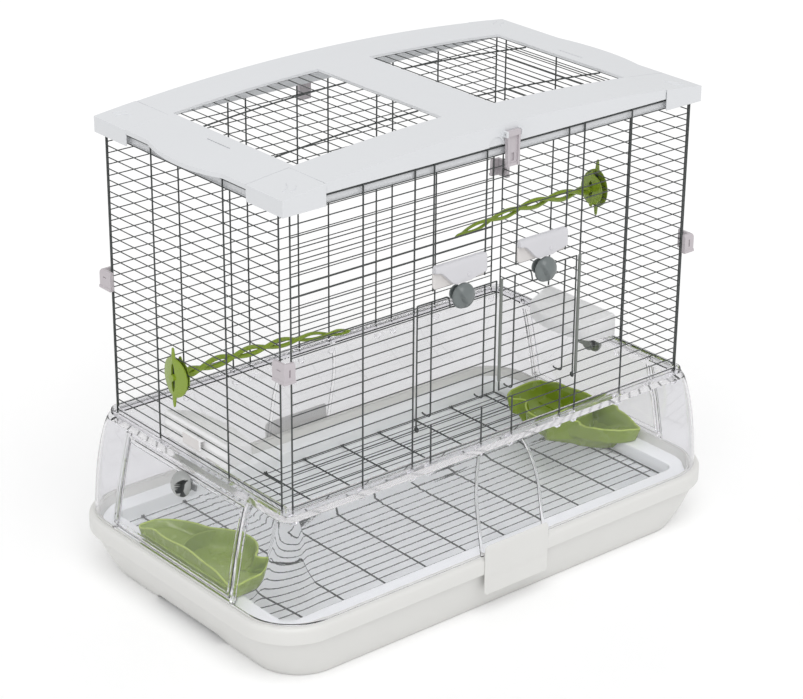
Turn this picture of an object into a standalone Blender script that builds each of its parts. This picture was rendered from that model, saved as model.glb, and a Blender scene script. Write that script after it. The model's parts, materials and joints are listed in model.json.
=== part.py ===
"""Wire bird cage on a clear base and a tray, modelled piece by piece.

World frame: origin on the ground under the middle of the cage, +X to the right along the
long front, +Y to the back, +Z up. All sizes are in metres.
"""
import math

import bmesh
import bpy
from mathutils import Matrix, Vector

# Clearances
GAP = 0.0003                 # between pieces that touch
WELD_GAP = 0.0001            # between crossing wires away from their welds
RUN = 0.0006                 # around pieces that swing in an opening

SHARP_ANGLE = math.radians(35)

# Wire panels
ROW_PITCH = 0.0122
ROW_COUNT = 26
ROW_WIRE = 0.0016
POST_WIRE = 0.0024
PANEL_HALF_X = 0.2703        # plane where rows and posts touch, side panels
PANEL_HALF_Y = 0.1515        # the same plane, front and back panels
FRONT_EDGE_IN = 0.0073       # last post of a long panel, in from the side panel's plane
FRONT_POSTS = (0.1770,)
OPENING_POST = 0.1118        # posts beside the door opening
SHORT_POSTS = (0.0210, 0.0889)
SIDE_EDGE_IN = 0.0091        # last post of a side panel, in from the long panel's plane
SIDE_POSTS = (-0.0576, 0.0613)
HINGE_ROW = 3                # row that the wire doors turn on, counted from the bottom
DOOR_LOW_ROW = 4
DOOR_TOP_ROW = 14
POST_TOP_REACH = 0.0110      # posts above the top row
LONG_POST_ROWS = 12          # a post over more rows than this has a third weld

# Base shell
RAIL_TOP_Z = 0.1858
RAIL_HEIGHT = 0.0113
RAIL_WALL = 0.0016
RAIL_INNER_WALL = 0.0030
GROOVE_DEPTH = 0.0060
GROOVE_CLEAR = 0.0004
FLARE = 0.0268               # how far the lip stands out from the rail
FLARE_TOP_DROP = 0.0018      # the flare ends this far below the rail's top
FLARE_POWER = 0.75
SHELL_WALL = 0.0025
RAIL_RADIUS = 0.0125
LIP_RADIUS = 0.0530
CORNER_POWER = 2             # how late on the way down the corners open up
CORNER_STEPS = 5
FLARE_LEVELS = 5
RIB_WIDTH = 0.0040
RIB_HEIGHT = 0.0015
FRONT_RIB_X = 0.0430
JAMB_WIDTH = 0.0060
JAMB_DEPTH = 0.0040

# Tray
TRAY_HEIGHT = 0.0700
TRAY_RIM_DROP = 0.0170
TRAY_WALL = 0.0030
RIM_REACH_X = 0.0087         # rim beyond the base's lip, at the short ends
RIM_REACH_Y = 0.0052         # the same on the long sides
RIM_RADIUS = 0.0620
RIM_STEP = 0.0050
RIM_WIDTH = 0.0140
FOOT_IN_X = 0.0293           # foot in from the rim
FOOT_IN_Y = 0.0210
FOOT_RADIUS = 0.0510
PAN_LAP = 0.0040             # lip of the tray's wall under the pan's edge
BASIN_IN_X = 0.0388          # basin in from the rim
BASIN_IN_Y = 0.0385
BASIN_RADIUS = 0.0120
BASIN_DRAFT = 0.0030         # how much smaller the basin is at its floor
LEDGE_Z = 0.0456
LEDGE_WIDTH = 0.0060
SHELF_DROP = 0.0080          # shelf below the rim
FLOOR_TOP_Z = 0.0040
ARCH_HALF_Y = 0.0520
ARCH_HEIGHT = 0.0090
ARCH_SLOPE = 0.0090

# Floor grille
FLOOR_WIRE = 0.0014
FLOOR_WIRE_COUNT = 24
FLOOR_WIRE_END = 0.0115      # first fine wire, in from the basin's wall
CROSS_WIRE = 0.0022
CROSS_COUNT = 10
CROSS_END_LEFT = 0.0294      # first cross wire, in from the grille's end
CROSS_END_RIGHT = 0.0134
CROSS_REACH = 0.0080         # cross wires beyond the last fine wire
HOOK_HEIGHT = 0.0050

# Side doors and their knobs
SIDE_DOOR_CENTRE_Y = 0.0050
SIDE_DOOR_WIDTH = 0.2020
SIDE_DOOR_SILL_HEIGHT = 0.0032   # opening above the base's lip
SIDE_DOOR_HEAD_DROP = 0.0027     # opening below the rail
SIDE_DOOR_WALL = 0.0022
SIDE_DOOR_BORDER = 0.0040
SIDE_PIN_RADIUS = 0.0016
SIDE_PIN_DEPTH = 0.0024
SIDE_PIN_HEIGHT = 0.0042     # pivot above the sill
SIDE_KNOB_Y = 0.0020
SIDE_KNOB_DROP = 0.0128      # knob below the opening's head

# Knobs
KNOB_RADIUS = 0.0140
KNOB_RIM = 0.0030
KNOB_DOME = 0.0030
KNOB_SHAFT_RADIUS = 0.0038
KNOB_BACK_RADIUS = 0.0080
KNOB_BACK_WALL = 0.0022
LUG_REACH = 0.0130
LUG_WIDTH = 0.0060
SIDE_LUG_REACH = 0.0148
SIDE_LUG_CLEAR = 0.0012      # more room behind a side door, as the header curves inwards
BLADE_WIDTH = 0.0050
BLADE_HEIGHT = 0.0060
KNOB_SEGMENTS = 16

# Wire doors
DOOR_INNER_STILE = 0.0033
DOOR_OUTER_STILE = 0.1073
DOOR_STILES = (0.0204, 0.0900)
DOOR_KNOB_X = 0.0553
HUMP_HALF = 0.0065
HUMP_RISE = 0.0070
EYE_BORE = 0.0016            # half width of the hinge eye's square bore
EYE_WALL = 0.0016
STOP_HOOK = 0.0130
STOP_HOOK_Z = 0.0082         # stop hooks above the hinge row

# Shields above the door knobs
PLATE_HALF_X = 0.0340
PLATE_HEIGHT = 0.0240
PLATE_LIFT = 0.0125          # shield above the middle of the knob
PLATE_WALL = 0.0028
PLATE_CORNER = 0.0040
PLATE_TONGUE_HALF = 0.0120
PLATE_TONGUE_DROP = 0.0030

# Corner clips
CLIP_LOW_Z = 0.3225
CLIP_HEIGHT = 0.0205
CLIP_WALL = 0.0045
CLIP_REACH_X = 0.0088        # along the long panel
CLIP_REACH_Y = 0.0150        # along the side panel

# Roof
SKIRT_WALL = 0.0020
ROOF_WALL = 0.0014
FASCIA_HEIGHT = 0.0048
ARCH_RISE = 0.0160
COVER_WALL = 0.0030
COVER_RIM = 0.0012
FASCIA_WALL = 0.0025
CAP_LENGTH_X = 0.0511        # length of the corner caps
CAP_LENGTH_Y = 0.0568
WINDOW_NEAR_X = 0.0340
WINDOW_END_BORDER = 0.0565
WINDOW_SIDE_BORDER = 0.0555
BOW_HALF_Y = 0.0620
BOW_REACH = 0.0100
BOW_DROP = 0.0015
ROOF_STEPS = 10              # flat strips in each half of the arch

# Roof grilles
ROOF_WIRE = 0.0014
ROOF_WIRE_COUNT = 15
ROOF_CROSS_WIRE = 0.0020
ROOF_CROSS_Y = 0.0580
ROOF_GRILLE_LAP = 0.0040     # grille beyond the window's edge

# Roof latches
LATCH_X = 0.0075
LATCH_HALF_WIDTH = 0.0085
LATCH_LENGTH = 0.0345        # below the pin
LATCH_PIN_LIFT = 0.0065      # pin above the roof's lower edge
LATCH_TOP_REACH = 0.0022
LATCH_PLATE = 0.0024
LATCH_RIDGE = 0.0022
LATCH_PIN_RADIUS = 0.0010
LATCH_BORE_CLEAR = 0.0002
LATCH_PIN_STAND = 0.0037     # pin from the cover's front face
EAR_WALL = 0.0022
EAR_HALF = 0.0030

# Tray latches
FLAP_HALF_X = 0.0440
FLAP_LOW_Z = 0.0280
FLAP_RISE = 0.0150           # flap above the tray's rim
FLAP_WALL = 0.0022
FLAP_BOSS_HALF_X = 0.0200
FLAP_BOSS_HALF_Z = 0.0035
FLAP_PIN_RADIUS = 0.0012
FLAP_EAR_WALL = 0.0050
FLAP_EAR_HALF_Z = 0.0031

# Cups
CUP_EDGE_IN = 0.0119         # outer edge in from the base's lip
CUP_LENGTH = 0.0780
CUP_HALF_Y = 0.0850
CUP_CENTRE_Y = 0.0010
CUP_RIM_HEIGHT = 0.0170      # rim above the tray's shelf
CUP_RIM_RISE = 0.0100
CUP_WALL = 0.0022
CUP_FOOT_SHARE = 0.58        # width of the foot to the width of the rim
CUP_POINTS = 8

# Hoods
HOOD_LOW_Y = -0.0520
HOOD_HIGH_Y = 0.0580
HOOD_END_REACH = 0.0322      # at its ends, in from the wires
HOOD_NOSE_REACH = 0.0462
HOOD_LIFT = 0.0042           # above the base's rail
HOOD_HEIGHT = 0.0280
HOOD_WALL = 0.0022
HOOD_EDGE = 0.0040           # height of the bevel round the top
HOOD_STEPS = 8
HOOD_TAB_HALF_Y = 0.0180
HOOD_TAB_WALL = 0.0024
HOOD_TAB_ROW = 1             # the tab goes through the gap above this row

# Perches: arm length, row under the stub, depth place, drop at the tip
PERCH_LEFT = {"length": 0.2160, "row": 6, "y": 0.0270, "drop": 0.0110}
PERCH_RIGHT = {"length": 0.1890, "row": 13, "y": -0.0060, "drop": 0.0020}
PERCH_DEPTH = 0.0090
PERCH_ROOT_HEIGHT = 0.0090
PERCH_SWELL = 0.0060
PERCH_SLOTS = 6
PERCH_RUNG = 0.0080
STUB_RADIUS = 0.0040
STUB_LENGTH = 0.0070
STUB_SEGMENTS = 16
LEAF_WALL = 0.0030
INNER_LEAF = (0.0165, 0.0285)    # half width, half height with the spikes
OUTER_LEAF = (0.0195, 0.0330)
LEAF_SPIKE = 0.0115
LEAF_SPIKE_HALF = 0.0024
LEAF_POINTS = 18

# Places worked out from the driving sizes
ROW_PLANE_DROP = ROW_WIRE / 2
ROW_LOW_Z = RAIL_TOP_Z + ROW_WIRE / 2 + GAP
POST_OUT = WELD_GAP + POST_WIRE
EDGE_POST_IN = ROW_WIRE / 2 + POST_WIRE / 2
FRONT_EDGE_POST = PANEL_HALF_X - FRONT_EDGE_IN
SIDE_EDGE_POST = PANEL_HALF_Y - SIDE_EDGE_IN
PANEL_LOW_Z = RAIL_TOP_Z - GROOVE_DEPTH + GAP
RAIL_LOW_Z = RAIL_TOP_Z - RAIL_HEIGHT
FLARE_TOP_Z = RAIL_TOP_Z - FLARE_TOP_DROP
RAIL_HALF_X = PANEL_HALF_X + POST_OUT + GROOVE_CLEAR + RAIL_WALL
RAIL_HALF_Y = PANEL_HALF_Y + POST_OUT + GROOVE_CLEAR + RAIL_WALL
GROOVE_INNER = RAIL_WALL + 2 * GROOVE_CLEAR + POST_OUT + EDGE_POST_IN
SHELL_LOW_Z = TRAY_HEIGHT + GAP
LIP_HALF_X = RAIL_HALF_X + FLARE
LIP_HALF_Y = RAIL_HALF_Y + FLARE
RIM_HALF_X = LIP_HALF_X + RIM_REACH_X
RIM_HALF_Y = LIP_HALF_Y + RIM_REACH_Y
FOOT_HALF_X = RIM_HALF_X - FOOT_IN_X
FOOT_HALF_Y = RIM_HALF_Y - FOOT_IN_Y
BASIN_HALF_X = RIM_HALF_X - BASIN_IN_X
BASIN_HALF_Y = RIM_HALF_Y - BASIN_IN_Y
SHELF_Z = TRAY_HEIGHT - SHELF_DROP
GRILLE_HALF_X = BASIN_HALF_X - LEDGE_WIDTH / 2
FINE_HALF_Y = BASIN_HALF_Y - FLOOR_WIRE_END
FLOOR_WIRE_PITCH = 2 * FINE_HALF_Y / (FLOOR_WIRE_COUNT - 1)
CROSS_PITCH = (2 * GRILLE_HALF_X - CROSS_END_LEFT - CROSS_END_RIGHT) / (CROSS_COUNT - 1)
CROSS_LOW_Z = LEDGE_Z + GAP
FINE_LOW_Z = CROSS_LOW_Z + CROSS_WIRE
GRILLE_TOP_Z = FINE_LOW_Z + FLOOR_WIRE
SKIRT_X = PANEL_HALF_X - EDGE_POST_IN - GAP
SKIRT_Y = PANEL_HALF_Y - EDGE_POST_IN - GAP
CAP_X = PANEL_HALF_X + POST_OUT + GROOVE_CLEAR + ROOF_WALL
CAP_Y = PANEL_HALF_Y + POST_OUT + GROOVE_CLEAR + ROOF_WALL
COVER_HALF_X = CAP_X - GROOVE_CLEAR
COVER_HALF_Y = CAP_Y - ROOF_WALL - GAP / 2
CAP_INNER_X = CAP_X - CAP_LENGTH_X
CAP_INNER_Y = CAP_Y - CAP_LENGTH_Y
WINDOW_FAR_X = COVER_HALF_X - WINDOW_END_BORDER
WINDOW_HALF_Y = COVER_HALF_Y - WINDOW_SIDE_BORDER
CUP_EDGE_X = LIP_HALF_X - CUP_EDGE_IN
CUP_NOSE_X = CUP_EDGE_X - CUP_LENGTH
CUP_RIM_Z = SHELF_Z + CUP_RIM_HEIGHT
HOOD_WALL_X = PANEL_HALF_X - EDGE_POST_IN - GAP
HOOD_LOW_Z = RAIL_TOP_Z + HOOD_LIFT
HOOD_TOP_Z = HOOD_LOW_Z + HOOD_HEIGHT


def row_z(index):
    """Height of a row's centre, counted from the bottom row."""
    return ROW_LOW_Z + index * ROW_PITCH


def flare(z):
    """How far the shell's outer face stands out from the rail at height z."""
    share = max(0.0, (FLARE_TOP_Z - z) / (FLARE_TOP_Z - SHELL_LOW_Z))
    return FLARE * share ** FLARE_POWER


SKIRT_LOW_Z = row_z(ROW_COUNT - 1) - ROW_WIRE / 2
POST_TOP_Z = row_z(ROW_COUNT - 1) + POST_TOP_REACH
ROOF_SEAT_Z = POST_TOP_Z + GAP
ROOF_EDGE_Z = ROOF_SEAT_Z + FASCIA_HEIGHT
LATCH_PIN_Z = ROOF_EDGE_Z + LATCH_PIN_LIFT
LATCH_LOW_Z = LATCH_PIN_Z - LATCH_LENGTH
HINGE_Z = row_z(HINGE_ROW)
ROW_Y = PANEL_HALF_Y - ROW_PLANE_DROP
DOOR_KNOB_Z = row_z(DOOR_TOP_ROW) + ROW_WIRE / 2
PLATE_LOW_Z = DOOR_KNOB_Z + PLATE_LIFT
PLATE_TOP_Z = PLATE_LOW_Z + PLATE_HEIGHT
SIDE_DOOR_SILL_Z = SHELL_LOW_Z + SIDE_DOOR_SILL_HEIGHT
SIDE_DOOR_HEAD_Z = RAIL_LOW_Z - SIDE_DOOR_HEAD_DROP
SIDE_KNOB_Z = SIDE_DOOR_HEAD_Z - SIDE_KNOB_DROP
SIDE_PIVOT_Z = SIDE_DOOR_SILL_Z + SIDE_PIN_HEIGHT
SIDE_PIVOT_X = RAIL_HALF_X + flare(SIDE_PIVOT_Z) - SIDE_DOOR_WALL / 2
SIDE_DOOR_LOW_Y = SIDE_DOOR_CENTRE_Y - SIDE_DOOR_WIDTH / 2
SIDE_DOOR_HIGH_Y = SIDE_DOOR_CENTRE_Y + SIDE_DOOR_WIDTH / 2
LATCH_PIN_Y = COVER_HALF_Y + LATCH_PIN_STAND
FLAP_PIN_Z = FLAP_LOW_Z + FLAP_BOSS_HALF_Z
FLAP_INNER_Y = RIM_HALF_Y + GAP
FLAP_PIN_Y = FLAP_INNER_Y - FLAP_BOSS_HALF_Z - GAP
FLAP_WALL_Y = (FOOT_HALF_Y - TRAY_WALL + (RIM_HALF_Y - RIM_STEP - FOOT_HALF_Y) * FLAP_PIN_Z
               / (TRAY_HEIGHT - TRAY_RIM_DROP - TRAY_WALL))


# Building helpers

def closed_mesh(bm):
    """Face everything outwards and drop loose doubles."""
    bmesh.ops.remove_doubles(bm, verts=bm.verts, dist=1e-7)
    bmesh.ops.recalc_face_normals(bm, faces=bm.faces)
    return bm


def material(name, colour, roughness, alpha=1.0):
    """A plain Principled material, made once."""
    found = bpy.data.materials.get(name)
    if found:
        return found
    made = bpy.data.materials.new(name)
    made.use_nodes = True
    shader = made.node_tree.nodes["Principled BSDF"]
    shader.inputs["Base Color"].default_value = (*colour, 1.0)
    shader.inputs["Roughness"].default_value = roughness
    shader.inputs["Metallic"].default_value = 0.0
    shader.inputs["Alpha"].default_value = alpha
    return made


FINISHES = {
    "tray": ((0.74, 0.74, 0.71), 0.35, 1.0),
    "clear": ((0.85, 0.85, 0.90), 0.08, 0.35),
    "wire": ((0.06, 0.07, 0.07), 0.40, 1.0),
    "roof": ((0.78, 0.79, 0.80), 0.40, 1.0),
    "clip": ((0.85, 0.80, 0.82), 0.40, 1.0),
    "shield": ((0.70, 0.72, 0.73), 0.35, 1.0),
    "knob": ((0.20, 0.23, 0.23), 0.35, 1.0),
    "green": ((0.28, 0.38, 0.04), 0.30, 1.0),
    "steel": ((0.55, 0.55, 0.56), 0.30, 1.0),
}


def piece(name, bm, finish, origin=(0, 0, 0), turn=None):
    """Make one object: the mesh is given in world space, or in its own space with turn."""
    if turn is None:
        bmesh.ops.translate(bm, verts=bm.verts, vec=-Vector(origin))
    mesh = bpy.data.meshes.new(name)
    bm.to_mesh(mesh)
    bm.free()
    mesh.shade_smooth()
    mesh.set_sharp_from_angle(angle=SHARP_ANGLE)
    obj = bpy.data.objects.new(name, mesh)
    obj.location = origin
    if turn is not None:
        obj.rotation_euler = turn.to_euler()
    bpy.context.scene.collection.objects.link(obj)
    colour, roughness, alpha = FINISHES[finish]
    obj.data.materials.append(material(finish, colour, roughness, alpha))
    return obj


def shape(obj, operation, bm, local=False):
    """Join or cut an object with a hidden closed shape."""
    mesh = bpy.data.meshes.new(obj.name + "_" + operation.lower())
    closed_mesh(bm).to_mesh(mesh)
    bm.free()
    tool = bpy.data.objects.new(mesh.name, mesh)
    tool.hide_render = True
    tool.display_type = "WIRE"
    if local:
        tool.location = obj.location
        tool.rotation_euler = obj.rotation_euler
    bpy.context.scene.collection.objects.link(tool)
    modifier = obj.modifiers.new(operation.title(), "BOOLEAN")
    modifier.operation = operation
    modifier.solver = "EXACT"
    modifier.object = tool
    return tool


def bar_mesh(boxes, cuts=((), (), ()), warp=None):
    """One closed skin around a set of axis-aligned bars that share faces or cross.

    boxes holds (x0, x1, y0, y1, z0, z1); cuts adds grid planes where a warp must bend the skin.
    """
    planes = []
    for axis in range(3):
        values = set(round(v, 7) for v in cuts[axis])
        for box in boxes:
            values.add(round(box[2 * axis], 7))
            values.add(round(box[2 * axis + 1], 7))
        planes.append(sorted(values))
    index = [{value: i for i, value in enumerate(plane)} for plane in planes]
    filled = set()
    for box in boxes:
        spans = []
        for axis in range(3):
            low = index[axis][round(box[2 * axis], 7)]
            high = index[axis][round(box[2 * axis + 1], 7)]
            spans.append(range(low, high))
        filled.update((i, j, k) for i in spans[0] for j in spans[1] for k in spans[2])
    bm = bmesh.new()
    corners = {}

    def corner(i, j, k):
        if (i, j, k) not in corners:
            point = Vector((planes[0][i], planes[1][j], planes[2][k]))
            corners[(i, j, k)] = bm.verts.new(warp(point) if warp else point)
        return corners[(i, j, k)]

    faces = {
        (1, 0, 0): ((1, 0, 0), (1, 1, 0), (1, 1, 1), (1, 0, 1)),
        (-1, 0, 0): ((0, 0, 0), (0, 0, 1), (0, 1, 1), (0, 1, 0)),
        (0, 1, 0): ((0, 1, 0), (0, 1, 1), (1, 1, 1), (1, 1, 0)),
        (0, -1, 0): ((0, 0, 0), (1, 0, 0), (1, 0, 1), (0, 0, 1)),
        (0, 0, 1): ((0, 0, 1), (1, 0, 1), (1, 1, 1), (0, 1, 1)),
        (0, 0, -1): ((0, 0, 0), (0, 1, 0), (1, 1, 0), (1, 0, 0)),
    }
    for cell in sorted(filled):
        for step, quad in faces.items():
            if tuple(a + b for a, b in zip(cell, step)) not in filled:
                bm.faces.new([corner(*(a + b for a, b in zip(cell, q))) for q in quad])
    bmesh.ops.recalc_face_normals(bm, faces=bm.faces)
    bmesh.ops.dissolve_limit(bm, angle_limit=math.radians(0.2), verts=bm.verts, edges=bm.edges)
    bmesh.ops.triangulate(bm, faces=bm.faces)
    return bm


def rounded_ring(half_x, half_y, radius, z):
    """Points of a rounded rectangle, counter-clockwise from above."""
    points = []
    for quarter in range(4):
        sign_x = 1 if quarter in (0, 3) else -1
        sign_y = 1 if quarter in (0, 1) else -1
        centre = Vector((sign_x * (half_x - radius), sign_y * (half_y - radius), z))
        for step in range(CORNER_STEPS + 1):
            angle = math.pi / 2 * (quarter + step / CORNER_STEPS)
            points.append(centre + radius * Vector((math.cos(angle), math.sin(angle), 0)))
    return points


def loft(rings, looped=False):
    """Skin through rings of equal length, capped at both ends or looped round."""
    bm = bmesh.new()
    rows = [[bm.verts.new(point) for point in ring] for ring in rings]
    pairs = list(zip(rows, rows[1:]))
    if looped:
        pairs.append((rows[-1], rows[0]))
    else:
        bm.faces.new(rows[0])
        bm.faces.new(rows[-1])
    count = len(rows[0])
    for low, high in pairs:
        for i in range(count):
            j = (i + 1) % count
            bm.faces.new((low[i], low[j], high[j], high[i]))
    return closed_mesh(bm)


def prism(outline, axis, low, high):
    """Closed outline in the plane across an axis, extruded from low to high."""
    other = [a for a in range(3) if a != axis]
    rings = []
    for level in (low, high):
        ring = []
        for u, v in outline:
            point = Vector((0, 0, 0))
            point[axis] = level
            point[other[0]] = u
            point[other[1]] = v
            ring.append(point)
        rings.append(ring)
    return loft(rings)


def turned(profile, segments):
    """Solid of revolution about Z through (radius, height) points, both ends on flats."""
    rings = []
    for radius, height in profile:
        ring = []
        for i in range(segments):
            angle = 2 * math.pi * i / segments
            ring.append(Vector((radius * math.cos(angle), radius * math.sin(angle), height)))
        rings.append(ring)
    return loft(rings)


def rod(start, end, radius, segments=16):
    """Round bar between two points."""
    start, end = Vector(start), Vector(end)
    bm = turned([(radius, 0), (radius, (end - start).length)], segments)
    turn = Vector((0, 0, 1)).rotation_difference(end - start).to_matrix().to_4x4()
    bmesh.ops.transform(bm, matrix=Matrix.Translation(start) @ turn, verts=bm.verts)
    return bm


def box(x0, x1, y0, y1, z0, z1):
    """Plain block."""
    return bar_mesh([(min(x0, x1), max(x0, x1), min(y0, y1), max(y0, y1), z0, z1)])


def merged(*parts):
    """Several closed shapes in one mesh, for use as a cutting or joining tool."""
    bm = bmesh.new()
    for part in parts:
        mesh = bpy.data.meshes.new("part")
        part.to_mesh(mesh)
        part.free()
        bm.from_mesh(mesh)
        bpy.data.meshes.remove(mesh)
    return bm


def half_turn(bm):
    """Turn a mesh by 180 degrees about the vertical axis."""
    bmesh.ops.transform(bm, matrix=Matrix.Rotation(math.pi, 4, "Z"), verts=bm.verts)
    return bm


# Base shell

def shell_ring(inset, z, flared=True):
    """Ring around the base at a distance inside its outer face."""
    out = flare(z) if flared else 0.0
    radius = RAIL_RADIUS + (LIP_RADIUS - RAIL_RADIUS) * (out / FLARE) ** CORNER_POWER - inset
    return rounded_ring(RAIL_HALF_X + out - inset, RAIL_HALF_Y + out - inset, max(radius, RAIL_WALL), z)


def flare_levels(low, high, count):
    """Heights between low and high."""
    return [low + (high - low) * i / count for i in range(count + 1)]


def shell_strip(axis, side, centre, width, low, high, inner, outer):
    """Rib that follows the flare on one side of the base."""
    half = RAIL_HALF_X if axis == 0 else RAIL_HALF_Y
    levels = flare_levels(low, high, FLARE_LEVELS)
    outline = [(side * (half + flare(z) + outer), z) for z in levels]
    outline += [(side * (half + flare(z) - inner), z) for z in reversed(levels)]
    return prism(outline, 1 - axis, centre - width / 2, centre + width / 2)


def base_shell():
    levels = flare_levels(SHELL_LOW_Z, FLARE_TOP_Z, FLARE_LEVELS)
    rings = [shell_ring(0, z) for z in levels]
    rings.append(shell_ring(0, RAIL_TOP_Z))
    rings.append(shell_ring(RAIL_WALL, RAIL_TOP_Z, False))
    rings.append(shell_ring(RAIL_WALL, RAIL_TOP_Z - GROOVE_DEPTH, False))
    rings.append(shell_ring(GROOVE_INNER, RAIL_TOP_Z - GROOVE_DEPTH, False))
    rings.append(shell_ring(GROOVE_INNER, RAIL_TOP_Z, False))
    rings.append(shell_ring(GROOVE_INNER + RAIL_INNER_WALL, RAIL_TOP_Z, False))
    rings.append(shell_ring(GROOVE_INNER + RAIL_INNER_WALL, RAIL_LOW_Z, False))
    inner_levels = flare_levels(SHELL_LOW_Z, RAIL_LOW_Z, FLARE_LEVELS - 1)
    rings += [shell_ring(SHELL_WALL, z) for z in reversed(inner_levels)]
    shell = piece("base_shell", loft(rings, looped=True), "clear")
    low = SHELL_LOW_Z + 2 * GAP
    high = RAIL_LOW_Z + 2 * GAP
    ribs = []
    for side in (-1, 1):
        for x in (-FRONT_RIB_X, FRONT_RIB_X):
            ribs.append(shell_strip(1, side, x, RIB_WIDTH, low, high, SHELL_WALL / 2, RIB_HEIGHT))
        for y in (SIDE_DOOR_LOW_Y - JAMB_WIDTH / 2, SIDE_DOOR_HIGH_Y + JAMB_WIDTH / 2):
            ribs.append(shell_strip(0, side, y, JAMB_WIDTH, low, high, JAMB_DEPTH, RIB_HEIGHT))
    shape(shell, "UNION", merged(*ribs))
    reach = JAMB_DEPTH * 2
    openings = []
    for side in (-1, 1):
        openings.append(box(side * (RAIL_HALF_X - reach), side * (RAIL_HALF_X + FLARE + reach),
                            SIDE_DOOR_LOW_Y, SIDE_DOOR_HIGH_Y, SIDE_DOOR_SILL_Z, SIDE_DOOR_HEAD_Z))
    shape(shell, "DIFFERENCE", merged(*openings))
    sockets = []
    depth = SIDE_PIN_DEPTH + RUN
    for side in (-1, 1):
        x = side * SIDE_PIVOT_X
        sockets.append(rod((x, SIDE_DOOR_LOW_Y - depth, SIDE_PIVOT_Z),
                           (x, SIDE_DOOR_HIGH_Y + depth, SIDE_PIVOT_Z), SIDE_PIN_RADIUS + GAP))
    shape(shell, "DIFFERENCE", merged(*sockets))


# Tray

def tray():
    """Outer wall with its rim, feet and the inner lip that the pan hangs on."""
    rim_low = TRAY_HEIGHT - TRAY_RIM_DROP
    under_z = rim_low - TRAY_WALL
    wall_x = RIM_HALF_X - RIM_STEP
    wall_y = RIM_HALF_Y - RIM_STEP
    wall_radius = RIM_RADIUS - RIM_STEP
    step = RIM_WIDTH + TRAY_WALL
    lip = step + PAN_LAP
    lip_z = SHELF_Z - TRAY_WALL - GAP
    t = TRAY_WALL
    rings = [
        rounded_ring(RIM_HALF_X - lip, RIM_HALF_Y - lip, RIM_RADIUS - lip, lip_z - t),
        rounded_ring(wall_x - t, wall_y - t, wall_radius - t, lip_z - t),
        rounded_ring(wall_x - t, wall_y - t, wall_radius - t, under_z),
        rounded_ring(FOOT_HALF_X - t, FOOT_HALF_Y - t, FOOT_RADIUS - t, 0),
        rounded_ring(FOOT_HALF_X, FOOT_HALF_Y, FOOT_RADIUS, 0),
        rounded_ring(wall_x, wall_y, wall_radius, under_z),
        rounded_ring(RIM_HALF_X, RIM_HALF_Y, RIM_RADIUS, rim_low),
        rounded_ring(RIM_HALF_X, RIM_HALF_Y, RIM_RADIUS, TRAY_HEIGHT),
        rounded_ring(RIM_HALF_X - RIM_WIDTH, RIM_HALF_Y - RIM_WIDTH, RIM_RADIUS - RIM_WIDTH,
                     TRAY_HEIGHT),
        rounded_ring(RIM_HALF_X - step, RIM_HALF_Y - step, RIM_RADIUS - step, SHELF_Z),
        rounded_ring(RIM_HALF_X - step, RIM_HALF_Y - step, RIM_RADIUS - step, lip_z),
        rounded_ring(RIM_HALF_X - lip, RIM_HALF_Y - lip, RIM_RADIUS - lip, lip_z),
    ]
    body = piece("tray", loft(rings, looped=True), "tray")
    ears, noses = [], []
    for side in (-1, 1):
        for end in (-1, 1):
            near = end * (FLAP_BOSS_HALF_X + GAP)
            far = end * (FLAP_BOSS_HALF_X + GAP + FLAP_EAR_WALL)
            wall = side * (FLAP_WALL_Y + TRAY_WALL / 2)
            ears.append(box(near, far, wall, side * FLAP_PIN_Y,
                            FLAP_PIN_Z - FLAP_EAR_HALF_Z, FLAP_PIN_Z + FLAP_EAR_HALF_Z))
            noses.append(rod((near, side * FLAP_PIN_Y, FLAP_PIN_Z),
                             (far, side * FLAP_PIN_Y, FLAP_PIN_Z), FLAP_EAR_HALF_Z))
    shape(body, "UNION", merged(*ears))
    shape(body, "UNION", merged(*noses))
    arches = []
    for side in (-1, 1):
        outline = [(-ARCH_HALF_Y - ARCH_SLOPE, -ARCH_HEIGHT), (ARCH_HALF_Y + ARCH_SLOPE, -ARCH_HEIGHT),
                   (ARCH_HALF_Y + ARCH_SLOPE, 0), (ARCH_HALF_Y, ARCH_HEIGHT),
                   (-ARCH_HALF_Y, ARCH_HEIGHT), (-ARCH_HALF_Y - ARCH_SLOPE, 0)]
        low, high = sorted((side * (BASIN_HALF_X + TRAY_WALL * 2), side * RIM_HALF_X))
        arches.append(prism(outline, 0, low, high))
    shape(body, "DIFFERENCE", merged(*arches))
    bores = []
    reach = FLAP_BOSS_HALF_X + FLAP_EAR_WALL * 2
    for side in (-1, 1):
        bores.append(rod((-reach, side * FLAP_PIN_Y, FLAP_PIN_Z), (reach, side * FLAP_PIN_Y, FLAP_PIN_Z),
                         FLAP_PIN_RADIUS + LATCH_BORE_CLEAR, 12))
    shape(body, "DIFFERENCE", merged(*bores))


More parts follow.
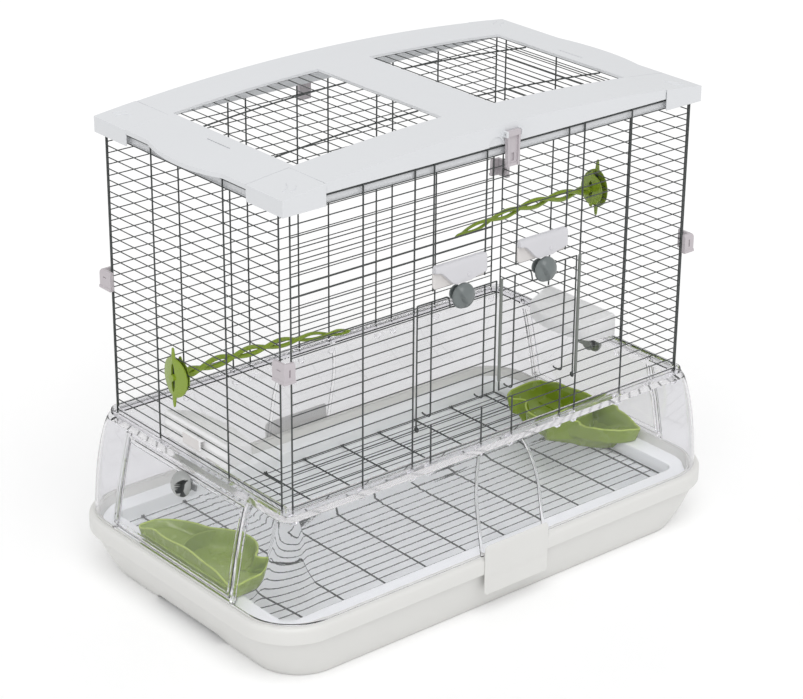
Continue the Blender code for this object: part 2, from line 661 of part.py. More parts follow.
def tray_pan():
    """Deep basin with the ledge for the floor grille and the shelf for the cups."""
    edge = RIM_WIDTH + TRAY_WALL + GAP
    ledge_x = BASIN_HALF_X - LEDGE_WIDTH
    ledge_y = BASIN_HALF_Y - LEDGE_WIDTH
    ledge_radius = BASIN_RADIUS - LEDGE_WIDTH
    draft = BASIN_DRAFT
    t = TRAY_WALL
    rings = [
        rounded_ring(ledge_x - draft + t, ledge_y - draft + t, ledge_radius - draft + t,
                     FLOOR_TOP_Z - t),
        rounded_ring(ledge_x + t, ledge_y + t, ledge_radius + t, LEDGE_Z - t),
        rounded_ring(BASIN_HALF_X + t, BASIN_HALF_Y + t, BASIN_RADIUS + t, LEDGE_Z - t),
        rounded_ring(BASIN_HALF_X + t, BASIN_HALF_Y + t, BASIN_RADIUS + t, SHELF_Z - t),
        rounded_ring(RIM_HALF_X - edge, RIM_HALF_Y - edge, RIM_RADIUS - edge, SHELF_Z - t),
        rounded_ring(RIM_HALF_X - edge, RIM_HALF_Y - edge, RIM_RADIUS - edge, SHELF_Z),
        rounded_ring(BASIN_HALF_X, BASIN_HALF_Y, BASIN_RADIUS, SHELF_Z),
        rounded_ring(BASIN_HALF_X, BASIN_HALF_Y, BASIN_RADIUS, LEDGE_Z),
        rounded_ring(ledge_x, ledge_y, ledge_radius, LEDGE_Z),
        rounded_ring(ledge_x - draft, ledge_y - draft, ledge_radius - draft, FLOOR_TOP_Z),
    ]
    piece("tray_pan", loft(rings), "tray")


def tray_latch(name, side):
    """White flap in front of the tray's rim, hinged on a pin near its lower edge."""
    boss_in = FLAP_PIN_Y - FLAP_BOSS_HALF_Z
    boxes = [
        (-FLAP_HALF_X, FLAP_HALF_X, FLAP_INNER_Y, FLAP_INNER_Y + FLAP_WALL, FLAP_LOW_Z,
         TRAY_HEIGHT + FLAP_RISE),
        (-FLAP_BOSS_HALF_X, FLAP_BOSS_HALF_X, boss_in, FLAP_INNER_Y,
         FLAP_PIN_Z - FLAP_BOSS_HALF_Z, FLAP_PIN_Z + FLAP_BOSS_HALF_Z),
    ]
    bm = bar_mesh(boxes)
    pin = rod((-FLAP_BOSS_HALF_X - FLAP_EAR_WALL, FLAP_PIN_Y, FLAP_PIN_Z),
              (FLAP_BOSS_HALF_X + FLAP_EAR_WALL, FLAP_PIN_Y, FLAP_PIN_Z), FLAP_PIN_RADIUS, 12)
    bore = rod((-FLAP_HALF_X, FLAP_PIN_Y, FLAP_PIN_Z), (FLAP_HALF_X, FLAP_PIN_Y, FLAP_PIN_Z),
               FLAP_PIN_RADIUS + LATCH_BORE_CLEAR, 12)
    if side < 0:
        bm, pin, bore = half_turn(bm), half_turn(pin), half_turn(bore)
    flap = piece("tray_latch_" + name, bm, "tray", (0, side * FLAP_PIN_Y, FLAP_PIN_Z))
    shape(flap, "DIFFERENCE", bore)
    piece("tray_latch_pin_" + name, pin, "steel", (0, side * FLAP_PIN_Y, FLAP_PIN_Z))


# Wire work

def weld(rows):
    """Rows at which a post is welded: its first, its last and, on a long post, one between."""
    low, high = rows
    return (low, (low + high) // 2, high) if high - low > LONG_POST_ROWS else (low, high)


def post_boxes(x, z_low, z_high, rows, plane):
    """Post just outside the rows, welded to a few of them."""
    inner = plane + WELD_GAP
    boxes = [(x - POST_WIRE / 2, x + POST_WIRE / 2, inner, inner + POST_WIRE, z_low, z_high)]
    for index in weld(rows):
        z = row_z(index)
        boxes.append((x - POST_WIRE / 2, x + POST_WIRE / 2, plane, inner,
                      z - ROW_WIRE / 2, z + ROW_WIRE / 2))
    return boxes


def edge_post(x, z_low, z_high, plane):
    """Post in the plane of the rows, which run into it."""
    centre = plane - ROW_WIRE / 2
    return (x - POST_WIRE / 2, x + POST_WIRE / 2, centre - POST_WIRE / 2, centre + POST_WIRE / 2,
            z_low, z_high)


def row_box(x0, x1, index, plane):
    z = row_z(index)
    return (x0, x1, plane - ROW_WIRE, plane, z - ROW_WIRE / 2, z + ROW_WIRE / 2)


def panel_boxes(edge, low_post, high_post, posts, plane):
    """Plain wire panel in its own frame: X across, Y outwards, Z up."""
    boxes = [row_box(low_post, high_post, i, plane) for i in range(ROW_COUNT)]
    for x in (-edge, edge):
        boxes.append(edge_post(x, PANEL_LOW_Z, POST_TOP_Z, plane))
    for x in posts:
        boxes += post_boxes(x, PANEL_LOW_Z, POST_TOP_Z, (0, ROW_COUNT - 1), plane)
    return boxes


def wire_panels():
    posts = FRONT_POSTS + (OPENING_POST,) + SHORT_POSTS
    both = tuple(-x for x in posts) + posts
    back = bar_mesh(panel_boxes(FRONT_EDGE_POST, -FRONT_EDGE_POST, FRONT_EDGE_POST, both, PANEL_HALF_Y))
    piece("panel_back", back, "wire")
    for name, side in (("left", 1), ("right", -1)):
        places = [side * y for y in SIDE_POSTS]
        bm = bar_mesh(panel_boxes(SIDE_EDGE_POST, -SIDE_EDGE_POST, SIDE_EDGE_POST, places, PANEL_HALF_X))
        bmesh.ops.transform(bm, matrix=Matrix.Rotation(side * math.pi / 2, 4, "Z"), verts=bm.verts)
        piece("panel_" + name, bm, "wire")
    piece("panel_front", half_turn(bar_mesh(front_boxes())), "wire")


def front_boxes():
    """Front panel with the opening for the two doors, drawn facing +Y."""
    plane = PANEL_HALF_Y
    edge = FRONT_EDGE_POST
    upper = DOOR_TOP_ROW + 1
    boxes = []
    for index in range(ROW_COUNT):
        if HINGE_ROW < index < upper:
            boxes.append(row_box(-edge, -OPENING_POST, index, plane))
            boxes.append(row_box(OPENING_POST, edge, index, plane))
        else:
            boxes.append(row_box(-edge, edge, index, plane))
    for side in (-1, 1):
        boxes.append(edge_post(side * edge, PANEL_LOW_Z, POST_TOP_Z, plane))
        boxes.append(edge_post(side * OPENING_POST, PANEL_LOW_Z, POST_TOP_Z, plane))
        for x in FRONT_POSTS:
            boxes += post_boxes(side * x, PANEL_LOW_Z, POST_TOP_Z, (0, ROW_COUNT - 1), plane)
        for x in SHORT_POSTS:
            low = row_z(upper) - ROW_WIRE / 2
            boxes += post_boxes(side * x, low, POST_TOP_Z, (upper, ROW_COUNT - 1), plane)
            high = HINGE_Z + ROW_WIRE / 2
            boxes += post_boxes(side * x, PANEL_LOW_Z, high, (0, HINGE_ROW), plane)
    return boxes


def wire_door(name, side):
    """Wire door that turns on the hinge row; drawn facing +Y on the far side."""
    plane = PANEL_HALF_Y
    near, far = DOOR_INNER_STILE, DOOR_OUTER_STILE
    knob = DOOR_KNOB_X
    half = POST_WIRE / 2
    boxes = [row_box(near, far, i, plane) for i in range(DOOR_LOW_ROW, DOOR_TOP_ROW)]
    boxes.append(row_box(near, knob - HUMP_HALF, DOOR_TOP_ROW, plane))
    boxes.append(row_box(knob + HUMP_HALF, far, DOOR_TOP_ROW, plane))
    rail = row_z(DOOR_TOP_ROW)
    r = ROW_WIRE / 2
    for x in (knob - HUMP_HALF, knob + HUMP_HALF):
        boxes.append((x - r, x + r, plane - ROW_WIRE, plane, rail - r, rail + HUMP_RISE + r))
    boxes.append((knob - HUMP_HALF - r, knob + HUMP_HALF + r, plane - ROW_WIRE, plane,
                  rail + HUMP_RISE - r, rail + HUMP_RISE + r))
    boxes.append(edge_post(near, row_z(DOOR_LOW_ROW) - r, rail + r, plane))
    eye = EYE_BORE + EYE_WALL
    boxes.append(edge_post(far, HINGE_Z + EYE_BORE, rail + r, plane))
    boxes.append((far - half, far + half, ROW_Y - eye, ROW_Y + eye, HINGE_Z + EYE_BORE, HINGE_Z + eye))
    boxes.append((far - half, far + half, ROW_Y - eye, ROW_Y + eye, HINGE_Z - eye, HINGE_Z - EYE_BORE))
    for low, high in ((-eye, -EYE_BORE), (EYE_BORE, eye)):
        boxes.append((far - half, far + half, ROW_Y + low, ROW_Y + high, HINGE_Z - eye, HINGE_Z + eye))
    hook = HINGE_Z + STOP_HOOK_Z
    outer = plane + POST_OUT
    for x in DOOR_STILES:
        boxes += post_boxes(x, hook, rail + r, (DOOR_LOW_ROW, DOOR_TOP_ROW), plane)
        boxes.append((x - half, x + half, outer - STOP_HOOK, outer, hook, hook + POST_WIRE))
    mirrored = [(side * b[0], side * b[1], -b[3], -b[2], b[4], b[5]) for b in boxes]
    ordered = [(min(b[0], b[1]), max(b[0], b[1])) + b[2:] for b in mirrored]
    piece("door_" + name, bar_mesh(ordered), "wire", (0, -ROW_Y, HINGE_Z))


def floor_grille():
    half_y = FINE_HALF_Y
    r = FLOOR_WIRE / 2
    boxes = []
    for i in range(FLOOR_WIRE_COUNT):
        y = -half_y + i * FLOOR_WIRE_PITCH
        boxes.append((-GRILLE_HALF_X, GRILLE_HALF_X, y - r, y + r, FINE_LOW_Z, GRILLE_TOP_Z))
    for side in (-1, 1):
        x = side * GRILLE_HALF_X
        boxes.append((x - CROSS_WIRE / 2, x + CROSS_WIRE / 2, -half_y - r, half_y + r,
                      CROSS_LOW_Z, GRILLE_TOP_Z))
    end = half_y + CROSS_REACH
    for i in range(CROSS_COUNT):
        x = CROSS_END_LEFT - GRILLE_HALF_X + i * CROSS_PITCH
        low, high = x - CROSS_WIRE / 2, x + CROSS_WIRE / 2
        boxes.append((low, high, -end, end, CROSS_LOW_Z, FINE_LOW_Z - WELD_GAP))
        for y in (-half_y, 0.5 * FLOOR_WIRE_PITCH, half_y):
            boxes.append((low, high, y - r, y + r, FINE_LOW_Z - WELD_GAP, FINE_LOW_Z))
        for side in (-1, 1):
            near, far = sorted((side * (end - CROSS_WIRE), side * end))
            boxes.append((low, high, near, far, CROSS_LOW_Z, CROSS_LOW_Z + HOOK_HEIGHT))
    piece("floor_grille", bar_mesh(boxes), "wire")


# Side doors and knobs

def side_door(name, side):
    levels = flare_levels(SIDE_PIVOT_Z - SIDE_PIN_RADIUS - GAP, SIDE_DOOR_HEAD_Z - RUN, FLARE_LEVELS)
    low_y, high_y = SIDE_DOOR_LOW_Y + RUN, SIDE_DOOR_HIGH_Y - RUN
    border = SIDE_DOOR_BORDER
    low, high = levels[0], levels[-1]
    boxes = [
        (-SIDE_DOOR_WALL, 0, low_y, high_y, low, high),
        (0, RIB_HEIGHT, low_y, low_y + border, low, high),
        (0, RIB_HEIGHT, high_y - border, high_y, low, high),
        (0, RIB_HEIGHT, low_y, high_y, low, low + border),
        (0, RIB_HEIGHT, low_y, high_y, high - border, high),
    ]

    def follow(point):
        return Vector((side * (RAIL_HALF_X + flare(point.z) + point.x), point.y, point.z))

    bm = bar_mesh(boxes, ((), (), levels), follow)
    x = side * SIDE_PIVOT_X
    bmesh.ops.recalc_face_normals(bm, faces=bm.faces)
    door = piece("side_door_" + name, bm, "clear", (x, SIDE_DOOR_CENTRE_Y, SIDE_PIVOT_Z))
    root = SIDE_PIN_RADIUS * 2
    pins = [rod((x, low_y + root, SIDE_PIVOT_Z), (x, SIDE_DOOR_LOW_Y - SIDE_PIN_DEPTH, SIDE_PIVOT_Z),
                SIDE_PIN_RADIUS, 12),
            rod((x, high_y - root, SIDE_PIVOT_Z), (x, SIDE_DOOR_HIGH_Y + SIDE_PIN_DEPTH, SIDE_PIVOT_Z),
                SIDE_PIN_RADIUS, 12)]
    shape(door, "UNION", merged(*pins))
    place, turn = side_knob_frame(side)
    outward = turn @ Vector((0, 0, 1))
    hole = rod(place - outward * SIDE_DOOR_WALL * 3, place + outward * SIDE_DOOR_WALL * 2,
               KNOB_SHAFT_RADIUS + GAP, KNOB_SEGMENTS)
    shape(door, "DIFFERENCE", hole)


def side_knob_frame(side):
    """Centre on the door's outer face and the turn that points local Z outwards."""
    step = KNOB_RIM
    slope = (flare(SIDE_KNOB_Z + step) - flare(SIDE_KNOB_Z - step)) / (2 * step)
    place = Vector((side * (RAIL_HALF_X + flare(SIDE_KNOB_Z)), SIDE_KNOB_Y, SIDE_KNOB_Z))
    outward = Vector((side, 0, -slope)).normalized()
    up = Vector((0, 0, 1)) - outward * outward.z
    up.normalize()
    across = up.cross(outward)
    turn = Matrix((across, up, outward)).transposed()
    return place, turn


def knob_mesh(back, front):
    """Turned knob about local Z: back disc ends at -back, front disc starts at front."""
    profile = [
        (KNOB_BACK_RADIUS, -back - KNOB_BACK_WALL),
        (KNOB_BACK_RADIUS, -back),
        (KNOB_SHAFT_RADIUS, -back),
        (KNOB_SHAFT_RADIUS, front),
        (KNOB_RADIUS, front),
        (KNOB_RADIUS, front + KNOB_RIM),
        (KNOB_RADIUS * 0.62, front + KNOB_RIM + KNOB_DOME * 0.8),
        (KNOB_RADIUS * 0.2, front + KNOB_RIM + KNOB_DOME),
    ]
    return turned(profile, KNOB_SEGMENTS)


def finish_knob(knob, back, front, reach):
    """Add the locking lug behind and the finger blade in front."""
    lug = box(0, reach, -LUG_WIDTH / 2, LUG_WIDTH / 2, -back - KNOB_BACK_WALL * 0.9,
              -back - KNOB_BACK_WALL * 0.1)
    top = front + KNOB_RIM + BLADE_HEIGHT
    half = BLADE_WIDTH / 2
    long = KNOB_RADIUS * 0.85
    foot = front + KNOB_RIM * 0.5
    outline = [(-long, foot), (long, foot), (long, front + KNOB_RIM), (long * 0.6, top),
               (-long * 0.6, top), (-long, front + KNOB_RIM)]
    blade = prism(outline, 0, -half, half)
    shape(knob, "UNION", merged(lug, blade), local=True)


def side_knob(name, side):
    place, turn = side_knob_frame(side)
    back = SIDE_DOOR_WALL + SIDE_LUG_CLEAR
    front = RIB_HEIGHT + GAP
    knob = piece("side_knob_" + name, knob_mesh(back, front), "knob", place, turn)
    finish_knob(knob, back, front, SIDE_LUG_REACH)


def door_knob(name, side):
    """Knob on a wire door: local Z points out of the cage, local Y up."""
    turn = Matrix(((1, 0, 0), (0, 0, -1), (0, 1, 0)))
    place = Vector((side * DOOR_KNOB_X, -PANEL_HALF_Y, DOOR_KNOB_Z))
    back = EDGE_POST_IN + GAP
    front = POST_OUT + PLATE_WALL + 2 * GAP
    knob = piece("door_knob_" + name, knob_mesh(back, front), "knob", place, turn)
    finish_knob(knob, back, front, LUG_REACH)


def door_plate(name, side):
    """Shield in front of the posts above a door knob."""
    x = side * DOOR_KNOB_X
    h, corner = PLATE_HALF_X, PLATE_CORNER
    low, high = PLATE_LOW_Z, PLATE_TOP_Z
    tongue = PLATE_TONGUE_HALF
    outline = [(-h + corner, low), (-tongue, low), (-tongue * 0.7, low - PLATE_TONGUE_DROP),
               (tongue * 0.7, low - PLATE_TONGUE_DROP), (tongue, low), (h - corner, low),
               (h, low + corner), (h, high - corner), (h - corner, high), (-h + corner, high),
               (-h, high - corner), (-h, low + corner)]
    outline = [(x + u, v) for u, v in outline]
    inner = PANEL_HALF_Y + POST_OUT + GAP
    piece("door_plate_" + name, prism(outline, 1, -inner - PLATE_WALL, -inner), "shield")


# Corner clips

def corner_clip(name, sign_x, sign_y):
    in_x = PANEL_HALF_X - ROW_PLANE_DROP + POST_WIRE / 2 + GAP
    in_y = PANEL_HALF_Y - ROW_PLANE_DROP + POST_WIRE / 2 + GAP
    out_x, out_y = in_x + CLIP_WALL, in_y + CLIP_WALL
    bevel = CLIP_WALL / 3
    end_x, end_y = in_x - CLIP_REACH_X, in_y - CLIP_REACH_Y
    outline = [(end_x, in_y), (in_x, in_y), (in_x, end_y), (out_x, end_y),
               (out_x, out_y - bevel), (out_x - bevel, out_y), (end_x, out_y)]
    outline = [(sign_x * u, sign_y * v) for u, v in outline]
    piece("corner_clip_" + name, prism(outline, 2, CLIP_LOW_Z, CLIP_LOW_Z + CLIP_HEIGHT), "clip")


# Roof

def arch_lift(x):
    """Height of the roof's top above its edge."""
    return ARCH_RISE * (1 - min(1.0, abs(x) / COVER_HALF_X) ** 2)


def roof_warp(point):
    """Bend everything above the cover's rim along the arch, and bow the short edges out."""
    x, y, z = point
    if z > ROOF_SEAT_Z + COVER_RIM + 1e-6:
        z += arch_lift(x)
    if abs(x) > COVER_HALF_X - FASCIA_WALL - 1e-6 and abs(y) < BOW_HALF_Y:
        bow = 1 - (y / BOW_HALF_Y) ** 2
        x += math.copysign(BOW_REACH * bow, x)
        z -= BOW_DROP * bow
    return Vector((x, y, z))


def roof_cuts():
    count = ROOF_STEPS
    xs = [COVER_HALF_X * i / count for i in range(-count, count + 1)]
    ys = [BOW_HALF_Y * i / 4 for i in range(-4, 5)]
    return (xs, ys, ())


def roof_cover():
    plate_low = ROOF_EDGE_Z - COVER_WALL
    main_x = CAP_INNER_X - GAP
    wing_y = CAP_INNER_Y - GAP
    top = ROOF_EDGE_Z
    boxes = []
    for side in (-1, 1):
        near, far = sorted((side * WINDOW_FAR_X, side * main_x))
        boxes.append((near, far, -COVER_HALF_Y, COVER_HALF_Y, plate_low, top))
        near, far = sorted((side * main_x, side * COVER_HALF_X))
        boxes.append((near, far, -wing_y, wing_y, plate_low, top))
        near, far = sorted((side * (COVER_HALF_X - FASCIA_WALL), side * COVER_HALF_X))
        boxes.append((near, far, -wing_y, wing_y, ROOF_SEAT_Z, plate_low))
        near, far = sorted((side * WINDOW_HALF_Y, side * COVER_HALF_Y))
        boxes.append((-main_x, main_x, near, far, plate_low, top))
        near, far = sorted((side * (COVER_HALF_Y - FASCIA_WALL), side * COVER_HALF_Y))
        boxes.append((-main_x, main_x, near, far, ROOF_SEAT_Z, plate_low))
        near, far = sorted((side * (SKIRT_Y - SKIRT_WALL), side * COVER_HALF_Y))
        boxes.append((-main_x, main_x, near, far, ROOF_SEAT_Z, ROOF_SEAT_Z + COVER_RIM))
    boxes.append((-WINDOW_NEAR_X, WINDOW_NEAR_X, -COVER_HALF_Y, COVER_HALF_Y, plate_low, top))
    cover = piece("roof_cover", bar_mesh(boxes, roof_cuts(), roof_warp), "roof")
    ears, bores = [], []
    for side in (-1, 1):
        centre = -side * LATCH_X
        y_in = side * (COVER_HALF_Y - FASCIA_WALL / 2)
        y_out = side * (LATCH_PIN_Y + EAR_HALF)
        for end in (-1, 1):
            near = centre + end * (LATCH_HALF_WIDTH + GAP)
            far = near + end * EAR_WALL
            ears.append(box(near, far, y_in, y_out, LATCH_PIN_Z - EAR_HALF, LATCH_PIN_Z + EAR_HALF))
        reach = LATCH_HALF_WIDTH + EAR_WALL * 2
        bores.append(rod((centre - reach, side * LATCH_PIN_Y, LATCH_PIN_Z),
                         (centre + reach, side * LATCH_PIN_Y, LATCH_PIN_Z),
                         LATCH_PIN_RADIUS + LATCH_BORE_CLEAR, 12))
    shape(cover, "UNION", merged(*ears))
    shape(cover, "DIFFERENCE", merged(*bores))


def roof_frame():
    """Skirt inside the wires, joined at the four corners to the caps over them."""
    skirt_top = ROOF_SEAT_Z - GAP
    plate_low = ROOF_EDGE_Z - COVER_WALL
    boxes = []
    for side in (-1, 1):
        near, far = sorted((side * (SKIRT_Y - SKIRT_WALL), side * SKIRT_Y))
        boxes.append((-SKIRT_X, SKIRT_X, near, far, SKIRT_LOW_Z, skirt_top))
        near, far = sorted((side * (SKIRT_X - SKIRT_WALL), side * SKIRT_X))
        boxes.append((near, far, -SKIRT_Y, SKIRT_Y, SKIRT_LOW_Z, skirt_top))
    for sx in (-1, 1):
        for sy in (-1, 1):
            cap_x = sorted((sx * CAP_INNER_X, sx * CAP_X))
            cap_y = sorted((sy * CAP_INNER_Y, sy * CAP_Y))
            wall_x = sorted((sx * (CAP_X - ROOF_WALL), sx * CAP_X))
            wall_y = sorted((sy * (CAP_Y - ROOF_WALL), sy * CAP_Y))
            run_x = sorted((sx * CAP_INNER_X, sx * SKIRT_X))
            run_y = sorted((sy * CAP_INNER_Y, sy * SKIRT_Y))
            skirt_x = sorted((sx * (SKIRT_X - SKIRT_WALL), sx * SKIRT_X))
            skirt_y = sorted((sy * (SKIRT_Y - SKIRT_WALL), sy * SKIRT_Y))
            boxes.append((*cap_x, *cap_y, plate_low, ROOF_EDGE_Z))
            boxes.append((*wall_x, *cap_y, SKIRT_LOW_Z, plate_low))
            boxes.append((*cap_x, *wall_y, SKIRT_LOW_Z, plate_low))
            boxes.append((*run_x, *skirt_y, skirt_top, plate_low))
            boxes.append((*skirt_x, *run_y, skirt_top, plate_low))
    xs = [x for x in roof_cuts()[0] if abs(x) > CAP_INNER_X]
    piece("roof_frame", bar_mesh(boxes, (xs, (), ()), roof_warp), "roof")


def roof_grille(name, side):
    """Grate under one window, bent along the arch just under the cover."""
    near = WINDOW_NEAR_X - ROOF_GRILLE_LAP
    far = WINDOW_FAR_X + ROOF_GRILLE_LAP
    half_y = WINDOW_HALF_Y + ROOF_GRILLE_LAP
    top = -COVER_WALL - GAP
    low = top - ROOF_WIRE
    half = ROOF_WIRE / 2
    boxes = []
    for i in range(ROOF_WIRE_COUNT):
        x = near + half + (far - near - ROOF_WIRE) * i / (ROOF_WIRE_COUNT - 1)
        boxes.append((x - half, x + half, -half_y, half_y, low, top))
    for y in (-half_y, half_y - ROOF_WIRE):
        boxes.append((near, far, y, y + ROOF_WIRE, low, top))
    for y in (-ROOF_CROSS_Y, ROOF_CROSS_Y):
        boxes.append((near, far, y - ROOF_CROSS_WIRE / 2, y + ROOF_CROSS_WIRE / 2,
                      low - ROOF_CROSS_WIRE, low - WELD_GAP))
        for x in (near, far - ROOF_WIRE):
            boxes.append((x, x + ROOF_WIRE, y - ROOF_CROSS_WIRE / 2, y + ROOF_CROSS_WIRE / 2,
                          low - WELD_GAP, low))
    mirrored = [(*sorted((side * b[0], side * b[1])), *b[2:]) for b in boxes]

    def follow(point):
        return Vector((point.x, point.y, point.z + ROOF_EDGE_Z + chord_lift(point.x)))

    cuts = [x for x in roof_cuts()[0] if near < side * x < far]
    piece("roof_grille_" + name, bar_mesh(mirrored, (cuts, (), ()), follow), "wire")


def chord_lift(x):
    """Lift of the faceted roof at x: straight between the bends of the cover."""
    bends = sorted(set(roof_cuts()[0]) | {-WINDOW_FAR_X, WINDOW_FAR_X, -WINDOW_NEAR_X, WINDOW_NEAR_X,
                                          CAP_INNER_X - GAP, GAP - CAP_INNER_X})
    for low, high in zip(bends, bends[1:]):
        if low <= x <= high:
            share = (x - low) / (high - low)
            return arch_lift(low) * (1 - share) + arch_lift(high) * share
    return 0.0


def roof_latch(name, side):
    """Channel-shaped clip that hangs on a pin in front of the cover."""
    back = LATCH_PIN_Y - LATCH_PIN_STAND + 3 * GAP
    w = LATCH_HALF_WIDTH
    front = back + LATCH_PLATE
    top = LATCH_PIN_Z + LATCH_TOP_REACH
    ridge = front + LATCH_RIDGE
    boxes = [(-w, w, back, front, LATCH_LOW_Z, top),
             (-w, -w + LATCH_RIDGE, front, ridge, LATCH_LOW_Z, top),
             (w - LATCH_RIDGE, w, front, ridge, LATCH_LOW_Z, top),
             (-w, w, front, ridge, LATCH_PIN_Z - EAR_HALF, top)]
    centre = -side * LATCH_X
    reach = w + EAR_WALL + GAP
    bm = bar_mesh(boxes)
    pin = rod((-reach, LATCH_PIN_Y, LATCH_PIN_Z), (reach, LATCH_PIN_Y, LATCH_PIN_Z),
              LATCH_PIN_RADIUS, 12)
    bore = rod((-reach, LATCH_PIN_Y, LATCH_PIN_Z), (reach, LATCH_PIN_Y, LATCH_PIN_Z),
               LATCH_PIN_RADIUS + LATCH_BORE_CLEAR, 12)
    for mesh in (bm, pin, bore):
        if side < 0:
            half_turn(mesh)
        bmesh.ops.translate(mesh, verts=mesh.verts, vec=(centre, 0, 0))
    axis = (centre, side * LATCH_PIN_Y, LATCH_PIN_Z)
    latch = piece("roof_latch_" + name, bm, "clip", axis)
    shape(latch, "DIFFERENCE", bore)
    piece("roof_latch_pin_" + name, pin, "steel", axis)


# Cups and hoods

def cup_outline(edge, nose, half, side, z, rise=0.0):
    """Straight outer edge with two flanks that meet in a round nose."""
    points = []
    for i in range(-CUP_POINTS, CUP_POINTS + 1):
        share = i / CUP_POINTS
        reach = abs(share) ** (1 / 0.6)
        x = nose + (edge - nose) * reach
        points.append(Vector((side * x, CUP_CENTRE_Y + half * share, z + rise * (1 - reach))))
    return points


def cup(name, side):
    w = CUP_WALL
    floor = GRILLE_TOP_Z + GAP
    shelf = SHELF_Z + GAP
    foot_edge = BASIN_HALF_X - GAP * 4
    foot_nose = CUP_NOSE_X + 4 * w
    foot_half = CUP_HALF_Y * CUP_FOOT_SHARE
    taper = w
    rings = [
        cup_outline(foot_edge - taper, foot_nose + 2 * taper, foot_half - 2 * taper, side, floor),
        cup_outline(foot_edge, foot_nose, foot_half, side, shelf),
        cup_outline(CUP_EDGE_X, CUP_NOSE_X + w, CUP_HALF_Y, side, shelf + GAP),
        cup_outline(CUP_EDGE_X, CUP_NOSE_X, CUP_HALF_Y, side, CUP_RIM_Z, CUP_RIM_RISE),
        cup_outline(CUP_EDGE_X - w, CUP_NOSE_X + w * 1.4, CUP_HALF_Y - w * 1.6, side, CUP_RIM_Z,
                    CUP_RIM_RISE),
        cup_outline(CUP_EDGE_X - w, CUP_NOSE_X + w * 2.6, CUP_HALF_Y - w * 1.8, side, shelf + w),
        cup_outline(foot_edge - w, foot_nose + w * 1.4, foot_half - w * 1.4, side, shelf + w * 0.9),
        cup_outline(foot_edge - taper - w, foot_nose + 2 * taper + w * 1.4,
                    foot_half - 2 * taper - w * 1.4, side, floor + w),
    ]
    piece("cup_" + name, loft(rings), "green")


def hood_outline(inset, side, z):
    """Canopy outline: straight along the wires, bowed towards the middle of the cage."""
    wall = HOOD_WALL_X - inset
    low, high = HOOD_LOW_Y + inset, HOOD_HIGH_Y - inset
    middle, half = (low + high) / 2, (high - low) / 2
    points = [Vector((side * wall, low, z)), Vector((side * wall, high, z))]
    for i in range(HOOD_STEPS + 1):
        share = 1 - 2 * i / HOOD_STEPS
        reach = HOOD_NOSE_REACH + (HOOD_END_REACH - HOOD_NOSE_REACH) * share * share
        bow = HOOD_WALL_X - reach + inset
        narrow = 1 - 0.10 * share ** 8
        points.append(Vector((side * bow, middle + half * share * narrow, z)))
    return points


def hood(name, side):
    rings = [
        hood_outline(HOOD_EDGE / 2, side, HOOD_TOP_Z),
        hood_outline(0, side, HOOD_TOP_Z - HOOD_EDGE),
        hood_outline(0, side, HOOD_LOW_Z),
        hood_outline(HOOD_WALL, side, HOOD_LOW_Z),
        hood_outline(HOOD_WALL, side, HOOD_TOP_Z - HOOD_WALL),
    ]
    canopy = piece("hood_" + name, loft(rings), "roof")
    gap_high = row_z(HOOD_TAB_ROW + 1) - ROW_WIRE / 2 - 2 * GAP
    inner = HOOD_WALL_X - HOOD_WALL / 2
    wires = PANEL_HALF_X + POST_OUT + GAP
    outer = wires + HOOD_TAB_WALL
    arm = gap_high - HOOD_TAB_WALL
    outline = [(inner, arm), (wires, arm), (wires, HOOD_LOW_Z), (outer, HOOD_LOW_Z),
               (outer, gap_high), (inner, gap_high)]
    outline = [(side * u, v) for u, v in outline]
    middle = (HOOD_LOW_Y + HOOD_HIGH_Y) / 2
    shape(canopy, "UNION", prism(outline, 1, middle - HOOD_TAB_HALF_Y, middle + HOOD_TAB_HALF_Y))


# Perches

def leaf_outline(size, y, z):
    """Pointed leaf with a spike at the top and at the bottom."""
    half_width, half_height = size
    body = half_height - LEAF_SPIKE
    s = LEAF_SPIKE_HALF
    points = []
    for i in range(LEAF_POINTS):
        angle = 2 * math.pi * i / LEAF_POINTS
        if i % (LEAF_POINTS // 2):
            points.append((y + half_width * math.sin(angle), z + body * math.cos(angle)))
            continue
        up = 1 if i == 0 else -1
        points += [(y - up * s, z + up * body), (y - up * s * 0.6, z + up * half_height),
                   (y + up * s * 0.6, z + up * half_height), (y + up * s, z + up * body)]
    return points


